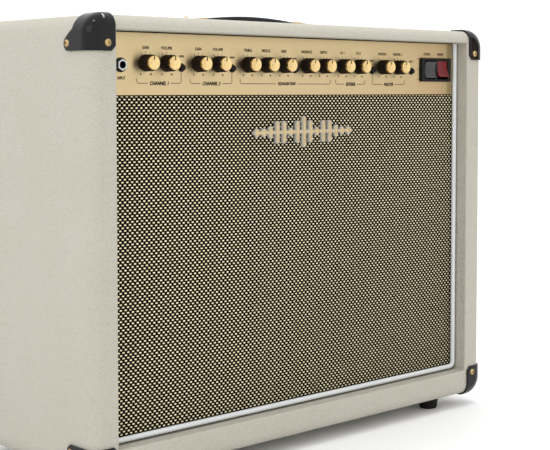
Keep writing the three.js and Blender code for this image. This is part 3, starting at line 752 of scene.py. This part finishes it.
def make_piping_bead():
    low, high = node_box("grille_piping")
    radius, turn = (high.y - low.y) / 2, 9
    line, floor = high.x - radius, low.z + radius
    middle = (low.y + high.y) / 2
    bend = turn - radius
    path = [(line, high.z)]
    path += arc((line - bend, floor + bend), bend, 0, -90, 8)
    path += arc((bend - line, floor + bend), bend, -90, -180, 8)
    path += [(-line, high.z)]
    bead = sweep([(x, middle, z) for x, z in path], circle(radius, 18))
    bead.build("piping_bead", PIPING, "piping", replaces=["grille_piping"])


def meter_outline(low, high, grow):
    """The emblem's outline: upright bars with round ends on one long rail, grown by a margin."""
    bars, rail, tall, short, beats = 15, 2.0, 18, 3.5, 4
    centre = (low.z + high.z) / 2
    half = (high.x - low.x) / 2
    radius = 3.1 + grow
    upper = []
    for index in range(bars):
        along = (index + 0.5) / bars
        beat = abs(math.cos(beats * math.pi * (along - 0.5)))
        reach = short + (tall - short) * beat * math.sin(math.pi * along) + grow
        x = half * (2 * along - 1)
        base = [(x - radius, rail + grow)] if reach - radius > rail else []
        upper += base + arc((x, reach - radius), radius, 180, 0, 10)
        upper += [(x + radius, rail + grow)][:len(base)]
    left, right = (-half - grow, rail + grow), (half + grow, rail + grow)
    line = [left, *upper, right]
    return [(x, centre + z) for x, z in line] + [(x, centre - z) for x, z in reversed(line)]


def make_badge():
    low, high = node_box("badge")
    depth = high.y - low.y
    edge = plate(meter_outline(low, high, 0)[::-1], depth - 0.5, bevel=0.35, segments=2)
    edge.placed(moved(y=high.y) @ FRONTWARD).build(
        "badge_edge", BADGE_EDGE, "badge", replaces=["badge"], sharp=30)
    face = plate(meter_outline(low, high, -1.1)[::-1], 1.0, bevel=0.3, segments=2)
    face.placed(moved(y=low.y + 1) @ FRONTWARD).build("badge_face", GOLD_PANEL, "gold_panel", sharp=30)


# ---------------------------------------------------------------- control panel

KNOB = {"flutes": 32, "depth": 0.5, "per_flute": 6, "body": 11.2, "length": 14.9, "disc": 7.2}
POINTER = {"half_width": 0.6, "inner": 3.0, "outer": 7.25}


def fluted(radius, height, angle):
    """The knob's grip: shallow grooves down its side."""
    if not 1.2 < height < KNOB["body"] - 0.5 or radius < 8:
        return radius
    return radius - KNOB["depth"] * (0.5 + 0.5 * math.cos(KNOB["flutes"] * angle)) ** 3


def knob_shapes():
    """A knob's black body with its pointer, and the turned gold disc on its front."""
    front, end, disc = KNOB["body"], KNOB["length"], KNOB["disc"]
    side = [(3, 0), (8.9, 0), (9, 0.4), (8.95, 1.15), (8.9, 1.5), (8.6, front - 0.8), (8.55, front - 0.45)]
    face = [*arc((8.1, front - 0.4), 0.4, 0, 90, 3), (disc + 0.3, front), (disc + 0.1, front - 0.3),
            (0, front - 0.3)]
    body = lathe(side + face, KNOB["flutes"] * KNOB["per_flute"], radius_at=fluted)
    body.add(lathe([(0, -10), (3, -10), (3, 0), (0, 0)], 24))
    body.add(rounded_box((-POINTER["half_width"], POINTER["inner"], end - 0.4),
                         (POINTER["half_width"], POINTER["outer"], end + 0.06), 0.1, 2))
    rim = arc((disc - 0.5, end - 0.5), 0.5, 0, 90, 4)
    dished = [(disc - 1.0, end - 0.02), (disc - 1.3, end - 0.12), (0, end - 0.12)]
    cap = lathe([(0, front - 0.3), (disc, front - 0.3), *rim, *dished], 64)
    return body, cap


def make_knobs():
    body, cap = (shape.placed(FRONTWARD) for shape in knob_shapes())
    for node in KNOBS:
        low, high = node_box(node)
        spindle = Vector(((low.x + high.x) / 2, PANEL_FRONT - 0.3, (low.z + high.z) / 2))
        place = Matrix.Translation(spindle)
        body.placed(place).build(f"{node}_body", KNOB_PLASTIC, "knob_plastic", node, [node], spindle, 30)
        cap.placed(place).build(f"{node}_cap", KNOB_CAP, "gold_panel", node, (), spindle, 30)


def make_buttons():
    button = lathe([(0, -9), (3.4, -9), (3.4, 2.6), (3.25, 3.3), (2.8, 4), (1.9, 4.45), (0, 4.6)], 40)
    for node in BUTTONS:
        low, high = node_box(node)
        place = moved((low.x + high.x) / 2, PANEL_FRONT, (low.z + high.z) / 2) @ FRONTWARD
        button.placed(place).build(f"{node}_cap", BLACK_PLASTIC, "switch_plastic", node, [node])
    collar = lathe([(3.6, 0), (4.6, 0), (4.6, 0.5), (4.2, 0.8), (3.6, 0.8)], 40, closed=True)
    collars = Shape()
    for node in BUTTONS:
        centre = node_centre(node)
        collars.add(collar, moved(centre.x, PANEL_FRONT - 0.02, centre.z) @ FRONTWARD)
    collars.build("button_collars", BLACK_PLASTIC, "switch_plastic")


def make_input_jack():
    """A black socket behind a plated washer and a hexagonal nut."""
    low, high = node_box("input_jack")
    centre = Vector(((low.x + high.x) / 2, PANEL_FRONT - 0.3, (low.z + high.z) / 2))
    place = Matrix.Translation(centre) @ FRONTWARD
    washer = lathe([(5.2, 0), (7.5, 0), (7.5, 0.7), (6.8, 1.5), (5.2, 1.9)], 48, closed=True)
    nut = hexagon_nut(6.1, 2.4, 3.9, 0.35).placed(moved(z=1.5))
    nut.placed(place).build("input_nut", CHROME, "steel")
    socket = lathe([(3.3, -24), (3.85, -24), (3.85, 3.7), (3.6, 3.8), (3.3, 3.7)], 40, closed=True)
    case = rounded_box((-5.8, -5.8, -23), (5.8, 5.8, -4), 0.6)
    socket.add(washer).add(case.cut_by(lathe([(0, -21), (3.4, -21), (3.4, 0), (0, 0)], 32)))
    socket.placed(place).build("input_socket", BLACK_PLASTIC, "switch_plastic", replaces=["input_jack"])


ROCKER = {"pivot": -106, "tilt": 12, "half": 10.4, "dip": 4.6, "bow": 0.94, "width": 19.6, "foot": (7, -4)}
WINDOW = {"half_width": 10.2, "half_height": 12}


def make_switches():
    """The bezel with two windows and the rockers tipping in them."""
    low, high = node_box("switch_bezel")
    centre = (low + high) / 2
    half_width, half_height = (high.x - low.x) / 2, (high.z - low.z) / 2
    rocker_names = ("output_rocker", "power_rocker")
    windows = []
    for node in rocker_names:
        at = node_centre(node).x - centre.x
        tall = WINDOW["half_height"]
        windows.append(rounded_rectangle(WINDOW["half_width"], -tall, tall, 0.6, 3, at))
    rim = plate(rounded_rectangle(half_width, -half_height, half_height, 1.6), 2.6, windows, bevel=0.5)
    inner = plate(rounded_rectangle(half_width - 2.4, -half_height + 2, half_height - 2, 0.5), 11, windows)
    place = moved(centre.x, PANEL_FRONT - 0.3, centre.z) @ FRONTWARD
    bezel = rim.add(inner, moved(z=-10.5)).placed(place)
    bezel.build("rocker_frame", BLACK_PLASTIC, "switch_plastic", replaces=["switch_bezel"])

    pivot = Vector((0, ROCKER["pivot"], centre.z))
    throw, half = math.tan(math.radians(ROCKER["tilt"])), ROCKER["half"]
    face = [(half * k / 6, ROCKER["dip"] + half * throw * (k / 6) ** 2 * ROCKER["bow"]) for k in range(-6, 7)]
    foot, depth = ROCKER["foot"]
    outline = [*face, (foot, depth), (-foot, depth)]
    for node, material, slot, tilt in (("output_rocker", GREY_PLASTIC, "grey_plastic", 0),
                                       ("power_rocker", RED_PLASTIC, "red_plastic", -ROCKER["tilt"])):
        pivot.x = node_centre(node).x
        slab = plate(outline, ROCKER["width"], bevel=0.7).placed(moved(z=-ROCKER["width"] / 2))
        upright = Matrix(((0, 0, 1, 0), (0, -1, 0, 0), (1, 0, 0, 0), (0, 0, 0, 1)))
        turn = Matrix.Translation(pivot) @ Matrix.Rotation(math.radians(tilt), 4, "X") @ upright
        slab.placed(turn).build(f"{node}_paddle", material, slot, node, [node])


# ---------------------------------------------------------------- panel printing

PRINT_FACE = PANEL_FRONT - 0.06
LINE = 0.7


def lettering(words, height, narrow=0.86, slant=0.0, weight=0.13):
    """Words as a flat shape centred on the origin, their strokes widened by twice the weight."""
    curve = bpy.data.curves.new("words", "FONT")
    curve.body = words
    curve.align_x = "CENTER"
    curve.align_y = "CENTER"
    curve.shear = slant
    curve.resolution_u = 3
    thing = bpy.data.objects.new("words", curve)
    bpy.context.scene.collection.objects.link(thing)
    mesh = thing.evaluated_get(bpy.context.evaluated_depsgraph_get()).to_mesh()
    points = [point.co.copy() for point in mesh.vertices]
    faces = [tuple(face.vertices) for face in mesh.polygons]
    bpy.data.objects.remove(thing)
    tallest, lowest = max(p.y for p in points), min(p.y for p in points)
    scale = height / (tallest - lowest)
    middle = (tallest + lowest) / 2
    thin = Shape([(p.x * scale * narrow, (p.y - middle) * scale, 0) for p in points], faces)
    bold = Shape()
    for across, up in ((-1, -1), (-1, 1), (1, -1), (1, 1)):
        bold.add(thin, moved(across * weight, up * weight))
    return bold


def stroke(path, width=LINE):
    """A printed line along a path of (x, z) points."""
    section = [(-width / 2, -0.025), (width / 2, -0.025), (width / 2, 0.025), (-width / 2, 0.025)]
    return sweep([(x, PRINT_FACE, z) for x, z in path], section)


LABELS = {"channel1_gain": "GAIN", "channel1_volume": "VOLUME", "channel2_gain": "GAIN",
          "channel2_volume": "VOLUME", "treble": "TREBLE", "middle": "MIDDLE", "bass": "BASS",
          "presence": "PRESENCE", "depth": "DEPTH", "reverb1": "CH 1", "reverb2": "CH 2",
          "master1": "MASTER 1", "master2": "MASTER 2"}
BUTTON_LABELS = {"channel1_mode": "MODE", "channel2_mode": "MODE", "tone_shift": "SHIFT",
                 "channel_select": "SELECT", "master_select": "SELECT"}
BRACKET = {"line": 421, "foot": 426, "riser": 433, "bend": 2.5}
GROUPS = [(-240, -181.3, "CHANNEL 1", "right"), (-169, -109.8, "CHANNEL 2", "right"),
          (-97.7, 44.2, "EQUALISATION", None), (53.2, 103.9, "REVERB", None),
          (117, 176, "MASTER", "left")]   # left end, right end, name, and the end that rises to a button


def knob_marks(words, x, line):
    """A name over a knob, three ticks, and 0 and 10 at the ends of its travel."""
    shape = Shape()
    put = lambda text, across, up: shape.add(text, moved(across, PRINT_FACE, up) @ FRONTWARD)
    put(lettering(words, 3.1, 0.84), x, line + 16)
    for degrees in (-30, 0, 30):
        angle = math.radians(degrees)
        shape.add(stroke([(x + r * math.sin(angle), line + r * math.cos(angle)) for r in (9.8, 12.3)], 0.6))
    put(lettering("0", 2.2), x - 6.4, line - 11.6)
    put(lettering("10", 2.2), x + 6.4, line - 11.6)
    return shape


def group_bracket(left, right, words, riser):
    """A line under a group with its name in a gap, turned up at both ends."""
    line, bend = BRACKET["line"], BRACKET["bend"]
    name = lettering(words, 3.8, 0.86, 0.25, 0.2)
    half = max(point.x for point in name.points) + 2.5
    middle = (left + right) / 2
    tops = {end: BRACKET["riser"] if riser == end else BRACKET["foot"] for end in ("left", "right")}
    shape = Shape().add(name, moved(middle, PRINT_FACE, line) @ FRONTWARD)
    left_bend = arc((left + bend, line + bend), bend, -90, -180, 5)
    right_bend = arc((right - bend, line + bend), bend, -90, 0, 5)
    shape.add(stroke([(middle - half, line), *left_bend, (left, tops["left"])]))
    shape.add(stroke([(middle + half, line), *right_bend, (right, tops["right"])]))
    return shape


def make_printing():
    shape = Shape()
    for node in KNOBS:
        centre = node_centre(node)
        shape.add(knob_marks(LABELS[node.removeprefix("knob_")], centre.x, centre.z))
    for node in BUTTONS:
        centre = node_centre(node)
        words = lettering(BUTTON_LABELS[node.removeprefix("button_")], 2.0, 0.8)
        shape.add(words, moved(centre.x, PRINT_FACE, centre.z + 12) @ FRONTWARD)
    for group in GROUPS:
        shape.add(group_bracket(*group))
    jack, bezel = node_centre("input_jack"), node_box("switch_bezel")
    put = lambda text, x, z: shape.add(text, moved(x, PRINT_FACE, z) @ FRONTWARD)
    put(lettering("INPUT", 3.0, 0.8), jack.x + 1, jack.z - 13.4)
    put(lettering("OUTPUT", 3.0, 0.8), node_centre("output_rocker").x - 4, bezel[1].z + 4.6)
    put(lettering("POWER", 3.0, 0.8), node_centre("power_rocker").x - 2, bezel[1].z + 4.6)
    for up in (14, 0.8, -12):
        middle = (bezel[0].z + bezel[1].z) / 2 + up
        shape.add(stroke([(bezel[0].x - 6.5, middle), (bezel[0].x - 3, middle)], 0.7))
    shape.build("panel_printing", INK, "gold_panel")


# ---------------------------------------------------------------- rear


VENT = {"rows": (316, 340, 364, 388), "columns": 7, "pitch": 72, "length": 50, "height": 7}
PANEL_SCREWS = (-270, -90, 90, 270)


def vent_slots():
    """The round-ended slots of the upper back panel."""
    columns, height = VENT["columns"], VENT["height"]
    holes = []
    for row in VENT["rows"]:
        for index in range(columns):
            x = (index - (columns - 1) / 2) * VENT["pitch"]
            holes.append(rounded_rectangle(VENT["length"] / 2, row, row + height, height / 2 - 0.01, 5, x))
    return holes


def make_back_panels():
    screw = cross_head_screw(3.6, 1.6)
    screws = Shape()
    for node, holes in (("back_panel_upper", vent_slots()), ("back_panel_lower", [])):
        low, high = node_box(node)
        outline = rounded_rectangle(high.x, low.z, high.z, 2.5, 4)
        board = plate(outline, high.y - low.y, holes, bevel=1.6)
        board.placed(moved(y=high.y) @ FRONTWARD).build(f"{node}_cover", VINYL, "vinyl", replaces=[node])
        for x in PANEL_SCREWS:
            for z in (low.z + 12, high.z - 10):
                turn = Matrix.Rotation(random.uniform(0, math.pi / 2), 4, "Z")
                screws.add(screw, moved(x, high.y - 0.1, z) @ BACKWARD @ turn)
    screws.build("back_panel_screws", BRASS, "brass")


REAR_SOCKETS = (-230, -200, -170, -120, -90, -40, -10)
FUSE_HOLDER = 150


def make_rear_fittings():
    """Sockets and a fuse holder on the back wall of the chassis, and the mains inlet."""
    low, high = node_box("chassis")
    socket_line = (low.z + high.z) / 2
    nuts, sockets = Shape(), Shape()
    nut = lathe([(4.8, 0), (7.4, 0), (7.4, 1.1), (4.8, 1.1)], 40, closed=True)
    nut.add(hexagon_nut(6.6, 2.2, 4.8, 0.3), moved(z=1.1))
    neck = lathe([(3.2, -8), (4.7, -8), (4.7, 4), (4.4, 4.4), (3.4, 4.4), (3.2, 4)], 40, closed=True)
    for x in REAR_SOCKETS:
        place = moved(x, high.y, socket_line) @ BACKWARD
        nuts.add(nut, place)
        sockets.add(neck, place)
    holder = lathe([(0, -6), (6, -6), (6, 0), (8.2, 0), (8.2, 2), (7, 2.4), (6.4, 9), (5.6, 10), (0, 10)], 40)
    sockets.add(holder, moved(FUSE_HOLDER, high.y, socket_line) @ BACKWARD)
    nuts.build("rear_nuts", CHROME, "steel")
    sockets.build("rear_sockets", BLACK_PLASTIC, "switch_plastic")

    low, high = node_box("mains_inlet")
    centre = (low + high) / 2
    half_width, half_height = (high.x - low.x) / 2, (high.z - low.z) / 2
    hole = rounded_rectangle(half_width - 4, 4 - half_height, half_height - 4, 1.5, 3)
    rim = plate(rounded_rectangle(half_width, -half_height, half_height, 2), 2.2, [hole], bevel=0.4)
    shroud = plate(rounded_rectangle(half_width - 2.5, 2.5 - half_height, half_height - 2.5, 1.5), 20, [hole])
    shape = rim.add(shroud, moved(z=-19.5))
    shape.add(rounded_box((4 - half_width, 4 - half_height, -19), (half_width - 4, half_height - 4, -17), 0))
    shape.placed(moved(centre.x, high.y - 2.2, centre.z) @ BACKWARD).build(
        "mains_inlet_shell", BLACK_PLASTIC, "switch_plastic", replaces=["mains_inlet"])
    pins = Shape()
    for x, z in ((-6, 1.5), (0, -2.5), (6, 1.5)):
        pins.add(rounded_box((x - 1, z - 2, -17), (x + 1, z + 2, -4), 0.4, 2))
    pins.placed(moved(centre.x, high.y - 2.2, centre.z) @ BACKWARD).build("mains_inlet_pins", BRASS, "brass")


def make_transformers():
    bolt = cross_head_screw(3, 1.6).placed(Matrix.Rotation(math.pi, 4, "X"))
    for node in ("power_transformer", "output_transformer"):
        low, high = node_box(node)
        centre = (low + high) / 2
        size = (high.x - low.x) / 100
        reach = lambda half_width, half_depth, top, bottom: (
            (centre.x - half_width * size, centre.y - half_depth * size, high.z - top * size),
            (centre.x + half_width * size, centre.y + half_depth * size, high.z - bottom * size))
        flange_top, flange_low = reach(50, 40, 3, 0)
        flange = rounded_box(flange_top, flange_low, 0.8)
        for across in (-44, 44):
            for along in (-34, 34):
                flange.add(bolt, moved(centre.x + across * size, centre.y + along * size, high.z - 3 * size))
        low_corner, high_corner = reach(34, 28, 70, 38)
        flange.add(rounded_box(low_corner, high_corner, 7 * size, 5))
        flange.build(f"{node}_cover", BLACK_PAINT, "transformer", replaces=[node])
        low_corner, high_corner = reach(46, 37, 40, 2)
        rounded_box(low_corner, high_corner, 1.2).build(f"{node}_core", LAMINATIONS, "transformer")


VALVE_CANS = (30, 60, 90, 120)


def make_valves():
    """Power valves hung base up: a moulded base, a glass envelope and the grey plates in it."""
    base = lathe([(0, 0), (17, 0), (17, -12.5), (16.4, -14), (15, -15), (0, -15)], 48)
    outer = [(14, -14), (15.4, -17), (15.8, -22), (15.8, -72), (15.2, -80), (12.8, -87), (8.5, -92),
             (4, -94.6), (0, -95)]
    inner = [(0, -93.8), (4, -93.4), (8, -91), (11.8, -86.2), (14.2, -79.6), (14.8, -72), (14.8, -22),
             (14.4, -17.4), (13, -14)]
    envelope = lathe([*outer, *inner], 48, closed=True)
    plates = rounded_box((-9, -5.5, -66), (9, 5.5, -24), 1.5)
    for z in (-69, -22):
        plates.add(lathe([(0, z), (12.6, z), (12.6, z + 0.8), (0, z + 0.8)], 40))
    for x, y in ((-10.5, 0), (10.5, 0), (0, -7), (0, 7)):
        plates.add(lathe([(0, -74), (0.7, -74), (0.7, -16), (0, -16)], 12), moved(x, y))
    for name, _ in HANDS:
        node = f"power_valve_{name}"
        low, high = node_box(node)
        place = moved((low.x + high.x) / 2, (low.y + high.y) / 2, high.z)
        base.placed(place).build(f"{node}_base", BLACK_PLASTIC, "switch_plastic", replaces=[node])
        envelope.placed(place).build(f"{node}_envelope", GLASS, "valve_glass")
        plates.placed(place).build(f"{node}_plates", STEEL, "steel")
    ceiling = node_box("chassis")[0].z
    can = lathe([(0, 0), (12.5, 0), (12.5, -3), (11.2, -4), (11.2, -12), (11.6, -13), (11.6, -14.5),
                 (11.2, -15.5), (11.2, -47), (10, -49.5), (5, -50), (0, -50)], 40)
    cans = Shape()
    for x in VALVE_CANS:
        cans.add(can, moved(x, node_centre("power_valve_left").y, ceiling - 0.1))
    cans.build("preamplifier_valve_cans", STEEL, "steel")


# ---------------------------------------------------------------- loudspeaker

BASKET = {"arms": 6, "window": 60, "sheet": 2.4, "rim": (141, 6), "hub": (80, 75)}


def basket_arm(index):
    """One arm of the basket, between two windows, from the rim to the magnet plate."""
    rings = []
    (rim, rim_depth), (hub, hub_depth) = BASKET["rim"], BASKET["hub"]
    for step in range(11):
        share = step / 10
        radius = rim + (hub - rim) * share
        depth = rim_depth + (hub_depth - rim_depth) * share
        half = math.pi / BASKET["arms"] - math.asin(BASKET["window"] / 2 / radius)
        middle = (2 * index + 1) * math.pi / BASKET["arms"]
        edge, turns = BASKET["sheet"], 8
        angles = [middle + half * (2 * k / turns - 1) for k in range(turns + 1)]
        outside = [(radius * math.cos(a), radius * math.sin(a), depth) for a in angles]
        inside = [((radius - edge) * math.cos(a), (radius - edge) * math.sin(a), depth - edge * 0.6)
                  for a in reversed(angles)]
        rings.append(outside + inside)
    return loft(rings).bevelled(0.6, 2, 60)


def make_loudspeaker():
    """The basket, magnet, cone and dust cap. The surround and spider stay still when the cone moves."""
    low, high = node_box("speaker_basket")
    seat = moved((low.x + high.x) / 2, low.y, (low.z + high.z) / 2) @ BACKWARD
    rim = lathe([(134.5, 0), (154.5, 0), (154.5, 3.4), (153.9, 4), (146, 4.4), (141.5, 6.6),
                 (138.5, 6.6), (134.5, 2)], 96, closed=True)
    plate_ring = lathe([(30, 75), (78, 73), (80.5, 74), (80.5, 77.4), (79.9, 78), (30, 78)], 72, closed=True)
    basket = rim.add(plate_ring)
    for index in range(BASKET["arms"]):
        basket.add(basket_arm(index))
    basket.placed(seat).build("basket", BLACK_PAINT, "basket", replaces=["speaker_basket"])

    bolt = lathe([(0, 0), (3.6, 0), (3.6, 1.2), (3.2, 1.5), (0, 1.5)], 6)
    bolts = Shape()
    for index in range(8):
        angle = (index + 0.5) * math.pi / 4
        bolts.add(bolt, moved(149.5 * math.cos(angle), 149.5 * math.sin(angle), 4.1))
    bolts.placed(seat).build("basket_bolts", STEEL, "steel", sharp=20)

    ferrite = lathe([(60, 85), (74, 85), (75, 86), (75, 107), (74, 108), (60, 108)], 72, closed=True)
    ferrite.placed(seat).build("magnet_ring", FERRITE, "magnet")
    plates = lathe([(0, 78.3), (59, 78.3), (60, 79.3), (60, 85), (0, 85)], 72)
    plates.add(lathe([(0, 108), (60, 108), (60, 114.6), (58.6, 116), (12, 116), (10, 114), (0, 114)], 72))
    plates.add(lathe([(0, 78.3), (24, 78.3), (24, 98), (0, 98)], 48))
    plates.placed(seat).build("magnet_plates", STEEL, "magnet", replaces=["speaker_magnet"])

    slope = [(26.5 + (131 - 26.5) * k / 30, 52 - 49 * (k / 30) ** 0.94) for k in range(31)]
    ripple = [(r, z + 0.35 * math.sin(r * 1.1)) for r, z in slope]
    front = [(r, z - 1.3) for r, z in ripple]
    cone = lathe([*front, *reversed(ripple)], 96, closed=True)
    cone.add(lathe([(24.8, 51), (26.4, 51), (26.4, 88), (24.8, 88)], 48, closed=True))
    cone.placed(seat).build("cone", PAPER, "cone_paper", "speaker_cone", ["speaker_cone"], sharp=60)
    dome = [(37 * k / 12, 30 + 14.4 * (k / 12) ** 2.2) for k in range(13)]
    cap = lathe([*dome, *[(r * 0.98, z + 1.2) for r, z in reversed(dome)]], 72)
    cap.placed(seat).build("dust_cap", PAPER, "cone_paper", "speaker_cone", ["speaker_dust_cap"], sharp=60)
    roll = [(131 + 9 * k / 24, 3.0 + 1.2 * math.sin(k / 24 * 4 * math.pi)) for k in range(25)]
    surround = lathe([*roll, *[(r, z - 0.8) for r, z in reversed(roll)]], 96, closed=True)
    surround.placed(seat).build("surround", PAPER, "cone_paper", sharp=60)
    folds = [(28 + 44 * k / 44, 66 + 1.4 * math.sin(k * math.pi / 2.2)) for k in range(45)]
    spider = lathe([*folds, *[(r, z - 0.7) for r, z in reversed(folds)]], 72, closed=True)
    spider.placed(seat).build("spider", PAPER, "cone_paper", sharp=60)


# ---------------------------------------------------------------- carried-over CAD nodes


def finish_nodes():
    finishes = {"control_panel": GOLD_PANEL, "chassis": STEEL, "baffle_board": WOOD,
                "control_circuit_board": CIRCUIT_BOARD, "main_circuit_board": CIRCUIT_BOARD}
    for node, material in finishes.items():
        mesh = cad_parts[node].data
        mesh.materials.clear()
        mesh.materials.append(material)


# ---------------------------------------------------------------- stage, light and camera


def make_stage():
    """A wide white floor with a faint mottle."""
    graph = Graph("floor", (0.9, 0.9, 0.9, 1.0), 0.7)
    graph.color(graph.mix(graph.noise(400, 2), (0.88, 0.88, 0.88, 1.0), (0.92, 0.92, 0.92, 1.0)))
    reach = 12.0
    mesh = bpy.data.meshes.new("floor")
    mesh.from_pydata([(-reach, -reach, 0), (reach, -reach, 0), (reach, reach, 0), (-reach, reach, 0)], [],
                     [(0, 1, 2, 3)])
    mesh.materials.append(graph.material)
    floor = bpy.data.objects.new("floor", mesh)
    bpy.context.scene.collection.objects.link(floor)


FLAG = {"place": Vector((2.33, -1.56, 0.8)), "width": 0.36, "height": 1.6}


def make_flag():
    """A tan card to the right, for the far end of the panel to mirror."""
    graph = Graph("flag", srgb(140, 80, 24), 0.9)
    graph.color(graph.mix(graph.noise(90, 2), srgb(130, 72, 18), srgb(150, 88, 30)))
    half_width, half_height = FLAG["width"] / 2, FLAG["height"] / 2
    mesh = bpy.data.meshes.new("flag")
    mesh.from_pydata([(-half_width, -half_height, 0), (half_width, -half_height, 0),
                      (half_width, half_height, 0), (-half_width, half_height, 0)], [], [(0, 1, 2, 3)])
    mesh.materials.append(graph.material)
    flag = bpy.data.objects.new("flag", mesh)
    flag.location = FLAG["place"]
    aim(flag, (0.25, -0.108, 0.44))
    bpy.context.scene.collection.objects.link(flag)


def make_world():
    world = bpy.data.worlds.new("studio")
    bpy.context.scene.world = world
    world.use_nodes = True
    background = world.node_tree.nodes["Background"]
    background.inputs["Color"].default_value = (1.0, 1.0, 1.0, 1.0)
    background.inputs["Strength"].default_value = 1.28


def aim(thing, target):
    thing.rotation_euler = (Vector(target) - thing.location).to_track_quat("-Z", "Y").to_euler()


def add_softbox(name, location, target, size, power, color=(1, 1, 1)):
    light = bpy.data.lights.new(name, "AREA")
    light.shape = "RECTANGLE"
    light.size, light.size_y = size
    light.energy = power
    light.color = color
    thing = bpy.data.objects.new(name, light)
    bpy.context.scene.collection.objects.link(thing)
    thing.location = location
    aim(thing, target)


def make_lights():
    add_softbox("key", (-1.9, -0.5, 1.4), (0, 0, 0.3), (1.2, 0.9), 4)
    add_softbox("strip", (0.3, -0.05, 1.8), (0, 0, 0.3), (1.0, 0.1), 7, (0.93, 0.97, 1))
    add_softbox("window", (-0.75, -0.35, 1.7), (-0.3, -0.1, 0.48), (0.16, 0.16), 1.6, (0.93, 0.97, 1))


CAMERA = {"place": (-1.0537, -1.1876, 0.4134), "yaw": 43.057, "pitch": 3.008, "lens": 85.23, "shift": -0.12}


def make_camera():
    data = bpy.data.cameras.new("camera")
    data.lens = CAMERA["lens"]
    data.sensor_width = 36.0
    data.shift_y = CAMERA["shift"]
    data.clip_end = 60.0
    camera = bpy.data.objects.new("camera", data)
    camera.location = CAMERA["place"]
    camera.rotation_euler = (math.radians(90 - CAMERA["pitch"]), 0, math.radians(-CAMERA["yaw"]))
    bpy.context.scene.collection.objects.link(camera)
    bpy.context.scene.camera = camera


make_camera()
make_stage()
make_flag()
make_world()
make_lights()
make_cabinet()
make_corner_protectors()
make_feet()
make_handle()
make_cloth_sheet()
make_piping_bead()
make_badge()
make_knobs()
make_buttons()
make_input_jack()
make_switches()
make_printing()
make_back_panels()
make_rear_fittings()
make_transformers()
make_valves()
make_loudspeaker()
finish_nodes()
bpy.context.scene.view_settings.view_transform = "Standard"
